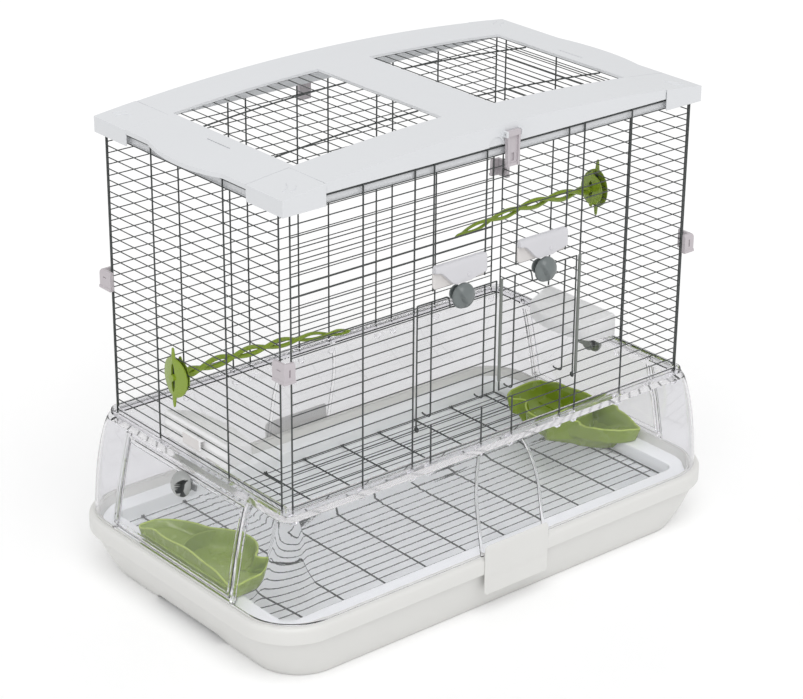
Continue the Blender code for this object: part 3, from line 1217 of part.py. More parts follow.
def perch(name, side, plan):
    """Slotted arm with a stub through the wires, and a leaf on each side of them."""
    z0 = row_z(plan["row"]) + ROW_PITCH / 2
    inner = PANEL_HALF_X - EDGE_POST_IN - GAP
    root = inner - LEAF_WALL
    length = plan["length"]
    y = plan["y"]
    pitch = length / PERCH_SLOTS
    boxes = [(0, length, -PERCH_DEPTH / 2, PERCH_DEPTH / 2, 0.5, 1),
             (0, length, -PERCH_DEPTH / 2, PERCH_DEPTH / 2, -1, -0.5)]
    for i in range(PERCH_SLOTS + 1):
        centre = i * pitch
        low, high = max(0, centre - PERCH_RUNG / 2), min(length, centre + PERCH_RUNG / 2)
        boxes.append((low, high, -PERCH_DEPTH / 2, PERCH_DEPTH / 2, -0.5, 0.5))
    cuts = [pitch * (i + 0.5) for i in range(PERCH_SLOTS)]

    def follow(point):
        share = point.x / length
        height = PERCH_ROOT_HEIGHT / 2 + PERCH_SWELL / 2 * math.sin(math.pi * min(1.0, share * 1.1))
        z = z0 - plan["drop"] * share ** 2 + point.z * height
        return Vector((side * (root + LEAF_WALL / 2 - point.x), y + point.y, z))

    bm = bar_mesh(boxes, (cuts, (), ()), follow)
    bmesh.ops.recalc_face_normals(bm, faces=bm.faces)
    axis = (side * inner, y, z0)
    arm = piece("perch_" + name, bm, "green", axis)
    low, high = sorted((side * root, side * inner))
    leaf = prism(leaf_outline(INNER_LEAF, y, z0), 0, low, high)
    shape(arm, "UNION", leaf)
    outer = PANEL_HALF_X + POST_OUT + GAP
    tip = outer + STUB_LENGTH
    stub = rod((side * (inner - LEAF_WALL / 2), y, z0), (side * tip, y, z0), STUB_RADIUS, STUB_SEGMENTS)
    shape(arm, "UNION", stub)
    low, high = sorted((side * outer, side * (outer + LEAF_WALL)))
    lock = piece("perch_leaf_" + name, prism(leaf_outline(OUTER_LEAF, y, z0), 0, low, high), "green",
                 (side * outer, y, z0))
    bore = rod((side * (outer - STUB_LENGTH), y, z0), (side * (tip + STUB_LENGTH), y, z0),
               STUB_RADIUS + GAP, STUB_SEGMENTS)
    shape(lock, "DIFFERENCE", bore)


def build():
    for obj in list(bpy.data.objects):
        bpy.data.objects.remove(obj)
    tray()
    tray_pan()
    floor_grille()
    base_shell()
    wire_panels()
    for name, side in (("left", -1), ("right", 1)):
        side_door(name, side)
        side_knob(name, side)
        cup(name, side)
        hood(name, side)
        wire_door(name, side)
        door_knob(name, side)
        door_plate(name, side)
        roof_grille(name, side)
    for name, sign_x, sign_y in (("front_left", -1, -1), ("front_right", 1, -1),
                                 ("back_left", -1, 1), ("back_right", 1, 1)):
        corner_clip(name, sign_x, sign_y)
    roof_frame()
    roof_cover()
    for name, side in (("front", -1), ("back", 1)):
        roof_latch(name, side)
        tray_latch(name, side)
    perch("left", -1, PERCH_LEFT)
    perch("right", 1, PERCH_RIGHT)


build()
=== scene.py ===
"""Wire bird cage on a clear base and a tray, dressed and lit.

Metres, origin on the ground under the middle of the cage, +X along the long front, +Y to the
back, +Z up. Each function below makes the visible piece for one or two nodes of the frame.
"""
import json
from math import copysign, cos, pi, radians, sin, sqrt

import bmesh
import bpy
from mathutils import Matrix, Vector


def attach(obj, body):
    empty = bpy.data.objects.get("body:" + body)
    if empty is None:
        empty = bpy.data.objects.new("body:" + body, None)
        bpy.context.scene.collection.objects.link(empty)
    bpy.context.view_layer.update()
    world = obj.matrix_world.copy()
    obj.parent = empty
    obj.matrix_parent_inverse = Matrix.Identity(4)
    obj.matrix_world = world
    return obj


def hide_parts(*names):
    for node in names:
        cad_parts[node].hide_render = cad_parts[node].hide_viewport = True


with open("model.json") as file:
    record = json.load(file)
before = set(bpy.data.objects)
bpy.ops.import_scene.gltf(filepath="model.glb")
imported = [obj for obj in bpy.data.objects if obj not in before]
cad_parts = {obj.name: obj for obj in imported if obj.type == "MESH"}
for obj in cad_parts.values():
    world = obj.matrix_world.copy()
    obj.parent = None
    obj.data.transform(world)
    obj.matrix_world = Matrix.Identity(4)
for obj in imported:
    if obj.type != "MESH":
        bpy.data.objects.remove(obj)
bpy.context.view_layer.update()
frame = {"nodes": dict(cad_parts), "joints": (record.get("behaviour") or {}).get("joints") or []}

SIDES = (("left", -1), ("right", 1))
ENDS = (("front", -1), ("back", 1))
REST_GAP = 0.0003   # between a piece and its seat

# Wire work
PITCH, FIRST_ROW, ROWS = 0.0122, 0.1869, 26
ROW_R, POST_R, BAR_R = 0.0006, 0.0009, 0.0017
CROSS_R, FINE_R = 0.0009, 0.0005
TOP_WIRE = 0.5004
PLANE_X, PLANE_Y = 0.2703, 0.1515
EDGE_X, EDGE_Y = 0.2630, 0.1424
OPENING, WIDE_POST = 0.1118, 0.1770
POST_LOW, POST_TOP = 0.1801, 0.5029
SHORT_POSTS = (0.0210, 0.0889)
SIDE_POSTS = (-0.0576, 0.0613)
DOOR_POSTS = (0.0204, 0.0900)
DOOR_NEAR, DOOR_FAR = 0.0033, 0.1073
KNOB_X, KNOB_Z, KNOB_R = 0.0553, 0.3585, 0.0135
HINGE_ROW, TOP_ROW = 3, 14

# Base, tray and roof
RAIL_X, RAIL_Y = 0.2748, 0.1560
RAIL_TOP, RAIL_LOW = 0.1858, 0.1745
LIP_Z, BASE_Z = 0.0703, 0.0711
FLARE, FLARE_TOP = 0.0268, 0.1840
RAIL_R, LIP_R = 0.0125, 0.0530
SHELL_WALL, SOCKET_IN = 0.0025, 0.0064
SIDE_LOW_Y, SIDE_HIGH_Y = -0.0960, 0.1060
SILL_Z, HEAD_Z, JAMB = 0.0735, 0.1718, 0.0030
PIVOT_X, PIVOT_Z = 0.299181, 0.0777
RIM = (0.3103, 0.1880, 0.0620)
FOOT = (0.2810, 0.1670, 0.0510)
BASIN_X, BASIN_Y = 0.2715, 0.1495
LEDGE_Z, SHELF_Z = 0.0456, 0.0620
PIN_Y, PIN_Z, PIN_BORE = 0.1845, 0.0315, 0.0014
SEAT_Z, EDGE_Z, ROOF_T = 0.5032, 0.5080, 0.0030
ARCH = 0.0160
COVER_X, COVER_Y, COVER_WALL = 0.2742, 0.15425, 0.0025
BOW_Y = 0.0620
CAP_X, CAP_Y = 0.2746, 0.1558
CAP_IN_X, CAP_IN_Y = 0.2235, 0.0990
WINDOW_NEAR, WINDOW_FAR, WINDOW_Y = 0.0340, 0.2177, 0.09875
SKIRT_X, SKIRT_Y, SKIRT_LOW, SKIRT_T = 0.2680, 0.1492, 0.4911, 0.0020
LATCH_X, LATCH_Y, LATCH_Z, LATCH_BORE = 0.0075, 0.15795, 0.5145, 0.0012
HOOD_WALL_X, HOOD_LOW, HOOD_TOP, HOOD_REACH = 0.2680, 0.1900, 0.2180, 0.0462


def row_z(index):
    return FIRST_ROW + PITCH * index


def clamp(value):
    return max(0.0, min(1.0, value))


def ease(share):
    return share * share * (3 - 2 * share)


def levels(low, high, count):
    return [low + (high - low) * i / count for i in range(count + 1)]


def angles(count):
    return [2 * pi * k / count for k in range(count)]


def at(axis, level, u, v):
    """Point at level on an axis, with u and v on the other two."""
    return (u, v)[:axis] + (level,) + (u, v)[axis:]


def tune(thing, **settings):
    for key, value in settings.items():
        setattr(thing, key, value)
    return thing


def linked(name, data):
    """New object in the scene."""
    obj = bpy.data.objects.new(name, data)
    bpy.context.scene.collection.objects.link(obj)
    return obj


# Materials

def feed(tree, node, sockets):
    """Set a node's inputs: another node's output is linked, anything else is the value."""
    for key, value in sockets.items():
        if isinstance(value, bpy.types.NodeSocket):
            tree.links.new(value, node.inputs[key])
        else:
            node.inputs[key].default_value = value


def put(tree, kind, sockets, **settings):
    node = tune(tree.nodes.new("ShaderNode" + kind), **settings)
    feed(tree, node, sockets)
    return node


def colour_mix(tree, factor, low, high):
    return put(tree, "Mix", {"Factor": factor, 6: low, 7: high}, data_type="RGBA").outputs[2]


def grey(value):
    return (value, value, value, 1)


def node_material(name, colour, roughness, vary=0.05, blotch=14.0, grain=900.0, relief=0.03,
                  spread=0.08, metallic=0.0, coat=0.0):
    """Moulded or coated surface: faint blotches of colour, uneven gloss and a fine grain."""
    mat = bpy.data.materials.new(name)
    mat.use_nodes = True
    tree = mat.node_tree
    coords = put(tree, "TexCoord", {}).outputs["Object"]

    def noise(scale, detail):
        sockets = {"Scale": scale, "Detail": detail, "Vector": coords}
        return put(tree, "TexNoise", sockets).outputs["Fac"]

    tint = colour_mix(tree, noise(blotch, 4.0), tuple(c * (1 - vary) for c in colour) + (1,),
                      tuple(min(1.0, c * (1 + vary)) for c in colour) + (1,))
    gloss = put(tree, "MapRange", {"Value": noise(grain / 12, 5.0),
                                   "To Min": max(0.02, roughness - spread),
                                   "To Max": roughness + spread})
    bump = put(tree, "Bump", {"Strength": relief, "Distance": 0.0004,
                              "Height": noise(grain, 3.0)})
    feed(tree, tree.nodes["Principled BSDF"], {
        "Base Color": tint, "Roughness": gloss.outputs["Result"],
        "Normal": bump.outputs["Normal"], "Metallic": metallic, "Coat Weight": coat,
        "Coat Roughness": 0.08})
    return mat


def clear_material(name, colour, roughness, waves, through=1.0, edge=0.55, bend=1.46):
    """Clear moulded plastic, slightly wavy, with painted shade where it is seen edge on."""
    mat = node_material(name, colour, roughness, vary=0.015, blotch=9.0, grain=260.0,
                        relief=0.02, spread=0.4 * roughness)
    tree = mat.node_tree
    shader = tree.nodes["Principled BSDF"]
    tint = shader.inputs["Base Color"].links[0].from_socket
    grain = shader.inputs["Normal"].links[0].from_socket
    # painted shade: the colour darkens towards grazing angles, down to edge times the colour
    facing = put(tree, "LayerWeight", {"Blend": 0.5}).outputs["Facing"]
    power = put(tree, "Math", {0: facing, 1: 3.0}, operation="POWER").outputs["Value"]
    shade = colour_mix(tree, power, tint, tuple(c * edge for c in colour) + (1,))
    coords = tree.nodes["Texture Coordinate"].outputs["Object"]
    swell = put(tree, "TexNoise", {"Scale": 22.0, "Detail": 1.0, "Vector": coords})
    wave = put(tree, "Bump", {"Strength": waves, "Distance": 0.002,
                              "Height": swell.outputs["Fac"], "Normal": grain})
    feed(tree, shader, {"Base Color": shade, "Normal": wave.outputs["Normal"],
                        "Transmission Weight": through, "IOR": bend})
    # shadow rays go through nearly whole, so the clear base throws a pale shadow
    open_way = put(tree, "BsdfTransparent", {"Color": (0.985, 0.985, 0.99, 1)})
    mix = put(tree, "MixShader", {"Fac": put(tree, "LightPath", {}).outputs["Is Shadow Ray"],
                                  1: shader.outputs["BSDF"], 2: open_way.outputs["BSDF"]})
    feed(tree, tree.nodes["Material Output"], {"Surface": mix.outputs["Shader"]})
    return mat


LOOKS = {
    "tray": node_material("tray_plastic", (0.735, 0.732, 0.712), 0.36, vary=0.02, blotch=7.0),
    # the pan is painted much paler than the tray: painted light that brightens the basin inside the
    # base
    "pan": node_material("pan_plastic_painted_light", (0.935, 0.95, 0.96), 0.42, vary=0.02, blotch=7.0),
    "clear": clear_material("clear_plastic", (0.955, 0.952, 0.97), 0.02, 0.05),
    "haze": clear_material("hazy_plastic", (0.96, 0.955, 0.97), 0.04, 0.03, 0.96, 0.80, 1.24),
    "wire": node_material("wire_coat", (0.050, 0.056, 0.055), 0.38, vary=0.25, blotch=60.0,
                          grain=2200.0, relief=0.10, spread=0.10),
    "bar": node_material("bar_coat", (0.19, 0.205, 0.19), 0.45, vary=0.12, blotch=60.0,
                         grain=2200.0, relief=0.08, spread=0.10),
    "roof": node_material("roof_plastic", (0.735, 0.748, 0.768), 0.38, vary=0.015, blotch=6.0),
    "hood": node_material("hood_plastic", (0.955, 0.955, 0.96), 0.34, vary=0.012, blotch=9.0),
    "clip": node_material("clip_plastic", (0.54, 0.50, 0.525), 0.36, vary=0.03, blotch=40.0),
    "shield": node_material("shield_plastic", (0.66, 0.655, 0.685), 0.34, vary=0.03, blotch=30.0,
                            coat=0.1),
    "plate": node_material("plate_plastic", (0.70, 0.675, 0.665), 0.36, vary=0.04, blotch=22.0),
    "knob": node_material("knob_plastic", (0.165, 0.185, 0.185), 0.24, vary=0.10, blotch=70.0,
                          grain=1400.0, relief=0.08),
    "dial": node_material("dial_plastic", (0.36, 0.37, 0.365), 0.26, vary=0.08, blotch=60.0),
    # near black, used only as painted shade: in the side knobs' thumb hollows and behind the perch
    # slots
    "painted_shade": node_material("painted_shade_black", (0.030, 0.034, 0.034), 0.40, vary=0.15, blotch=60.0),
    "green": node_material("lime_plastic", (0.225, 0.325, 0.020), 0.26, vary=0.10, blotch=18.0,
                           relief=0.04, coat=0.15),
    # lighter lime for the cups' rim bead: painted light, the glow of light through the thin rim
    "edge": node_material("lime_rim_painted_glow", (0.40, 0.52, 0.070), 0.26, vary=0.08, blotch=18.0),
    "steel": node_material("steel_pin", (0.55, 0.55, 0.56), 0.30, metallic=1.0, grain=3000.0),
}


# Mesh helpers

def as_object(name, bm):
    mesh = bpy.data.meshes.new(name)
    bm.to_mesh(mesh)
    bm.free()
    return linked(name, mesh)


def add(name, bm, look, body, nodes=(), bevel=0.0, segments=2, sharp=38):
    """Finish a mesh as a piece that rides on a body and stands for some nodes."""
    bmesh.ops.recalc_face_normals(bm, faces=bm.faces)
    obj = as_object(name, bm)
    obj.data.shade_smooth()
    obj.data.materials.append(LOOKS[look])
    if bevel:
        tune(obj.modifiers.new("Edge", "BEVEL"), width=bevel, segments=segments,
             limit_method="ANGLE", angle_limit=radians(sharp), harden_normals=True,
             use_clamp_overlap=True)
    else:
        obj.data.set_sharp_from_angle(angle=radians(sharp))
    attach(obj, body)
    if nodes:
        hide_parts(*nodes)
    return obj


def paint(obj, look, chosen):
    """Give the faces whose centre is chosen a second look."""
    obj.data.materials.append(LOOKS[look])
    index = len(obj.data.materials) - 1
    for face in obj.data.polygons:
        if chosen(face.center):
            face.material_index = index


def copy_into(bm, part):
    """Move another mesh into bm."""
    mesh = bpy.data.meshes.new("step")
    part.to_mesh(mesh)
    part.free()
    bm.from_mesh(mesh)
    bpy.data.meshes.remove(mesh)


def carve(obj, operation, tools):
    """Join closed meshes to a piece or cut them out of it, for good."""
    bm = bmesh.new()
    for tool in tools:
        bmesh.ops.recalc_face_normals(tool, faces=tool.faces)
        copy_into(bm, tool)
    knife = as_object("tool", bm)
    bevelled = len(obj.modifiers) > 0
    for modifier in obj.modifiers:
        modifier.show_viewport = False
    boolean = tune(obj.modifiers.new("Cut", "BOOLEAN"), operation=operation, solver="EXACT",
                   use_self=True, object=knife)
    bpy.context.view_layer.update()
    graph = bpy.context.evaluated_depsgraph_get()
    made = bpy.data.meshes.new_from_object(obj.evaluated_get(graph))
    obj.modifiers.remove(boolean)
    obj.data = made
    for modifier in obj.modifiers:
        modifier.show_viewport = True
    bpy.data.objects.remove(knife)
    obj.data.shade_smooth()
    if not bevelled:
        obj.data.set_sharp_from_angle(angle=radians(38))


def cut(obj, *tools):
    carve(obj, "DIFFERENCE", tools)


def join(obj, *tools):
    carve(obj, "UNION", tools)


def skin(bm, rows, looped=False):
    """Quads between neighbouring rows of vertices."""
    for low, high in list(zip(rows, rows[1:])) + ([(rows[-1], rows[0])] if looped else []):
        for i in range(len(low)):
            j = (i + 1) % len(low)
            bm.faces.new((low[i], low[j], high[j], high[i]))


def loft(rings, looped=False):
    """Skin through rings of equal length, capped at both ends or looped round."""
    bm = bmesh.new()
    rows = [[bm.verts.new(point) for point in ring] for ring in rings]
    if not looped:
        bm.faces.new(rows[0])
        bm.faces.new(rows[-1])
    skin(bm, rows, looped)
    return bm


def tube(bm, points, radius, around=8, loop=False):
    """Round wire along points, with softly rounded ends."""
    points = [Vector(p) for p in points]
    count = len(points)
    tangents = []
    for i in range(count):
        after = points[(i + 1) % count] if loop else points[min(i + 1, count - 1)]
        before = points[i - 1] if loop or i else points[0]
        tangents.append((after - before).normalized())
    normal = tangents[0].orthogonal().normalized()
    rings = []
    for point, tangent in zip(points, tangents):
        normal = (normal - tangent * normal.dot(tangent)).normalized()
        rings.append((point, normal, tangent.cross(normal), radius))
    if not loop:
        tip = radius * 0.55
        rings.insert(0, (rings[0][0] - tangents[0] * tip, *rings[0][1:3], tip))
        rings.append((rings[-1][0] + tangents[-1] * tip, *rings[-1][1:3], tip))
    rows = [[bm.verts.new(place + r * (cos(a) * normal + sin(a) * side))
             for a in angles(around)] for place, normal, side, r in rings]
    skin(bm, rows, loop)
    if not loop:
        bm.faces.new(rows[0])
        bm.faces.new(rows[-1])


def spline(a, b, c, d, steps):
    """Points on a soft curve from b to just before c, with a before and d after them."""
    return [0.5 * (2 * b + (c - a) * t + (2 * a - 5 * b + 4 * c - d) * t * t
                   + (3 * b - 3 * c + d - a) * t ** 3) for t in (s / steps for s in range(steps))]


def smooth_path(points, steps):
    """Points on a soft curve through the given ones."""
    points = [Vector(p) for p in points]
    padded = [points[0] * 2 - points[1], *points, points[-1] * 2 - points[-2]]
    path = []
    for four in zip(padded, padded[1:], padded[2:], padded[3:]):
        path += spline(*four, steps)
    return path + [points[-1]]


def bars(boxes, cuts=((), (), ()), warp=Vector):
    """One closed skin of quads around axis-aligned bars, bent by warp."""
    boxes = [[v for k in (0, 2, 4) for v in sorted((round(box[k], 7), round(box[k + 1], 7)))]
             for box in boxes]
    planes = []
    for axis in range(3):
        values = {round(v, 7) for v in cuts[axis]}
        values.update(v for box in boxes for v in box[2 * axis:2 * axis + 2])
        planes.append(sorted(values))
    filled = set()
    for box in boxes:
        spans = [range(plane.index(box[2 * k]), plane.index(box[2 * k + 1]))
                 for k, plane in enumerate(planes)]
        filled.update((i, j, k) for i in spans[0] for j in spans[1] for k in spans[2])
    bm = bmesh.new()
    corners = {}

    def corner(*spot):
        if spot not in corners:
            corners[spot] = bm.verts.new(warp(Vector(planes[k][i] for k, i in enumerate(spot))))
        return corners[spot]

    faces = {
        (1, 0, 0): ((1, 0, 0), (1, 1, 0), (1, 1, 1), (1, 0, 1)),
        (-1, 0, 0): ((0, 0, 0), (0, 0, 1), (0, 1, 1), (0, 1, 0)),
        (0, 1, 0): ((0, 1, 0), (0, 1, 1), (1, 1, 1), (1, 1, 0)),
        (0, -1, 0): ((0, 0, 0), (1, 0, 0), (1, 0, 1), (0, 0, 1)),
        (0, 0, 1): ((0, 0, 1), (1, 0, 1), (1, 1, 1), (0, 1, 1)),
        (0, 0, -1): ((0, 0, 0), (0, 1, 0), (1, 1, 0), (1, 0, 0)),
    }
    for cell in sorted(filled):
        for step, quad in faces.items():
            if tuple(a + b for a, b in zip(cell, step)) not in filled:
                bm.faces.new([corner(*(a + b for a, b in zip(cell, q))) for q in quad])
    return bm


def flip(box, sx, sy):
    """Box with its sides put on the given signs of X and Y."""
    x0, x1, y0, y1, z0, z1 = box
    return sx * x0, sx * x1, sy * y0, sy * y1, z0, z1


def block(*box, sx=1, sy=1):
    return bars([flip(box, sx, sy)])


def sheet(us, vs, place):
    """Closed plate between a back layer 0 and a front layer 1 of points."""
    bm = bmesh.new()
    grid = {(layer, i, j): bm.verts.new(place(layer, u, v))
            for i, u in enumerate(us) for j, v in enumerate(vs) for layer in (0, 1)}
    nu, nv = len(us) - 1, len(vs) - 1
    for i in range(nu):
        for j in range(nv):
            for layer in (0, 1):
                bm.faces.new([grid[(layer, *spot)] for spot in
                              ((i, j), (i + 1, j), (i + 1, j + 1), (i, j + 1))])
    border = [(i, 0) for i in range(nu)] + [(nu, j) for j in range(nv)]
    border += [(i, nv) for i in range(nu, 0, -1)] + [(0, j) for j in range(nv, 0, -1)]
    for a, b in zip(border, border[1:] + border[:1]):
        bm.faces.new([grid[(0, *a)], grid[(0, *b)], grid[(1, *b)], grid[(1, *a)]])
    return bm


def corner_drop(u, half, radius):
    """How far a rounded corner takes a plate's edge back at u."""
    inset = clamp((abs(u) - (half - radius)) / radius)
    return radius * (1 - sqrt(1 - inset ** 2))


def ring(outline, inset, z, steps=14):
    """Rounded rectangle at a height; the outline gives its half sides and corner radius."""
    half_x, half_y, radius = (size - inset for size in outline)
    points = []
    for quarter, (sign_x, sign_y) in enumerate(((1, 1), (-1, 1), (-1, -1), (1, -1))):
        centre = Vector((sign_x * (half_x - radius), sign_y * (half_y - radius), z))
        for step in range(steps + 1):
            angle = pi / 2 * (quarter + step / steps)
            points.append(centre + radius * Vector((cos(angle), sin(angle), 0)))
    return points


def prism(outline, axis, low, high):
    """Closed outline across an axis, extruded from low to high."""
    return loft([[at(axis, level, u, v) for u, v in outline] for level in (low, high)])


def rod(start, end, radius, around=24):
    start, end = Vector(start), Vector(end)
    turn = Vector((0, 0, 1)).rotation_difference(end - start).to_matrix().to_4x4()
    bm = loft([[(radius * cos(a), radius * sin(a), height) for a in angles(around)]
               for height in (0, (end - start).length)])
    bmesh.ops.transform(bm, matrix=Matrix.Translation(start) @ turn, verts=bm.verts)
    return bm


def long_rod(axis, low, high, u, v, radius, around=24):
    """Rod along an axis."""
    return rod(at(axis, low, u, v), at(axis, high, u, v), radius, around)


# Wire panels and doors

def straight(axis, low, high, u, v, radius):
    """Run of wire along an axis."""
    return (at(axis, low, u, v), at(axis, high, u, v)), radius


def wires(name, runs, body, nodes=(), look="wire", around=8):
    bm = bmesh.new()
    for points, radius in runs:
        tube(bm, points, radius, around)
    add(name, bm, look, body, nodes)


def wire_panels():
    rows_y, posts_y = PLANE_Y - ROW_R, PLANE_Y + POST_R
    for name, side in ENDS:
        front, y = side < 0, side * rows_y
        runs = []
        for i in range(ROWS):
            spans = [(-EDGE_X, EDGE_X)]
            if front and HINGE_ROW < i <= TOP_ROW:
                spans = [(-EDGE_X, -OPENING), (OPENING, EDGE_X)]
            runs += [straight(0, low, high, y, row_z(i), ROW_R) for low, high in spans]
        spans = [(POST_LOW, POST_TOP)]
        if front:
            spans = [(POST_LOW, row_z(HINGE_ROW)), (row_z(TOP_ROW + 1), POST_TOP)]
        for sign in (-1, 1):
            for x, post_y in ((EDGE_X, rows_y), (WIDE_POST, posts_y),
                              (OPENING, rows_y if front else posts_y)):
                runs.append(straight(2, POST_LOW, POST_TOP, sign * x, side * post_y, POST_R))
            runs += [straight(2, low, high, sign * x, side * posts_y, POST_R)
                     for x in SHORT_POSTS for low, high in spans]
        runs.append(straight(0, -EDGE_X, EDGE_X, y, TOP_WIRE, POST_R))
        wires("wire_panel_" + name, runs, "cage", ["panel_" + name])
    for name, side in SIDES:
        x, out = side * (PLANE_X - ROW_R), side * (PLANE_X + POST_R)
        runs = [straight(1, -EDGE_Y, EDGE_Y, x, row_z(i), ROW_R) for i in range(ROWS)]
        runs.append(straight(1, -EDGE_Y, EDGE_Y, x, TOP_WIRE, POST_R))
        for post_x, y in [(x, -EDGE_Y), (x, EDGE_Y)] + [(out, y) for y in SIDE_POSTS]:
            runs.append(straight(2, POST_LOW, POST_TOP, post_x, y, POST_R))
        wires("wire_panel_" + name, runs, "cage", ["panel_" + name])
    # sleeve on the post that the right door closes against
    sleeve = straight(2, row_z(HINGE_ROW) + 0.0020, row_z(TOP_ROW) - 0.0004, OPENING, -rows_y,
                      BAR_R)
    wires("post_sleeve", [sleeve], "cage", look="bar", around=12)


def wire_door(name, side):
    body = "door_" + name
    y, out = -(PLANE_Y - ROW_R), -(PLANE_Y + POST_R)
    hinge, first, top = row_z(HINGE_ROW), row_z(HINGE_ROW + 1), row_z(TOP_ROW)
    near, far, knob_x = side * DOOR_NEAR, side * DOOR_FAR, side * KNOB_X
    runs = [straight(0, near, far, y, row_z(i), ROW_R) for i in range(HINGE_ROW + 1, TOP_ROW)]
    # the top row dips round the knob's shaft
    bend = [(-0.0200, 0), (-0.0135, 0.0002), (-0.0112, 0.0030), (-0.0096, 0.0100),
            (-0.0085, PITCH)]
    bend += [(-u, drop) for u, drop in reversed(bend)]
    dip = [(near, y, top)] + [(knob_x + side * u, y, top - drop) for u, drop in bend]
    runs.append((smooth_path(dip + [(far, y, top)], 5), ROW_R * 1.25))
    runs.append(straight(2, first - 0.0006, top, near, y, POST_R))
    if side > 0:
        sleeve = straight(2, first + 0.0100, top, near, y, BAR_R)
        wires("stile_sleeve", [sleeve], body, look="bar", around=12)
    hook = ((0, 0.0300), (0, 0.0140), (0.0009, 0.0108), (0.0030, 0.0096), (0.0080, 0.0093),
            (0.0112, 0.0095), (0.0124, 0.0103))
    for x in DOOR_POSTS:
        path = [(side * x, out, top)] + [(side * x, out + u, hinge + v) for u, v in hook]
        runs.append((smooth_path(path, 4), POST_R * 0.95))
    coil = [(far, y, top), (far, y, hinge + 0.0080), (far, y - 0.0003, hinge + 0.0040)]
    for k in range(15):
        angle = radians(80 + 25 * k)
        drift = side * 0.0009 * (k / 14)
        coil.append((far - drift, y - 0.0022 * cos(angle), hinge + 0.0022 * sin(angle)))
    runs.append((smooth_path(coil, 3), POST_R * 0.9))
    wires("wire_door_" + name, runs, body, [body])


def floor_wires():
    low, fine = LEDGE_Z + REST_GAP + CROSS_R, LEDGE_Z + REST_GAP + 2 * CROSS_R + FINE_R
    half_x, half_y = BASIN_X - 0.0030, 0.1440
    end = half_y + 0.0015
    runs = [straight(0, -half_x, half_x, -half_y + 0.0120 * i, fine, FINE_R) for i in range(25)]
    runs += [straight(1, -half_y, half_y, x, fine - 0.0006, CROSS_R) for x in (-half_x, half_x)]
    for i in range(10):
        x = -half_x + 0.0294 + 0.054911 * i
        path = [(x, y, low + up) for y, up in ((-end, 0), (0, 0), (end - 0.0030, 0),
                                               (end - 0.0008, 0.0008), (end, 0.0030))]
        runs.append((smooth_path(path, 4), CROSS_R))
    wires("floor_wires", runs, "grille", ["floor_grille"])


def arch_lift(x):
    return ARCH * (1 - min(1.0, abs(x) / COVER_X) ** 2)


def roof_wires(name, side):
    near, far = WINDOW_NEAR - 0.0035, WINDOW_FAR + 0.0035
    half_y = WINDOW_Y + 0.0035

    def top(x):
        return EDGE_Z + arch_lift(x) - ROOF_T - REST_GAP - CROSS_R

    runs = []
    for x in levels(near + 0.0007, far - 0.0007, 14):
        runs.append(straight(1, -half_y, half_y, side * x, top(x), 0.00055))
    for y, radius, drop in ((-half_y, ROW_R, 0), (half_y, ROW_R, 0), (-0.058, CROSS_R, 0.0014),
                            (0.058, CROSS_R, 0.0014)):
        runs.append(([(side * x, y, top(x) - drop) for x in levels(near, far, 24)], radius))
    wires("roof_wires_" + name, runs, "roof", ["roof_grille_" + name])


# Base

def flare(z):
    share = max(0.0, (FLARE_TOP - z) / (FLARE_TOP - LIP_Z))
    return FLARE * share ** 0.75


def shell_ring(inset, z, flared=True, fuller=0.0):
    out = flare(z) if flared else 0.0
    radius = RAIL_R + (LIP_R - RAIL_R) * (out / FLARE) ** 2
    return ring((RAIL_X + out, RAIL_Y + out, radius + fuller), inset, z, 12)


def side_strip(axis, side, line, width, inner, outer):
    """Rib on the flare; line gives its middle along the wall at each height."""
    rings = []
    for z in levels(BASE_Z, RAIL_LOW + 0.0005, 12):
        face = (RAIL_X, RAIL_Y)[axis] + flare(z)
        rings.append([at(axis, side * (face + out), line(z) + across * width / 2, z)
                      for out, across in ((-inner, -1), (outer * 0.5, -1), (outer, -0.5),
                                          (outer, 0.5), (outer * 0.5, 1), (-inner, 1))])
    return loft(rings)


def hazy(point):
    """Thick or ribbed places of the base: rail, ribs and the jambs of the side openings."""
    x, y, z = point
    if z > RAIL_LOW - 0.0006:
        return True
    proud = max(abs(x) - RAIL_X, abs(y) - RAIL_Y) - flare(z)
    jamb = min(abs(y - SIDE_LOW_Y), abs(y - SIDE_HIGH_Y)) < 0.0062 and abs(x) > RAIL_X - 0.004
    return proud > 0.0004 or jamb


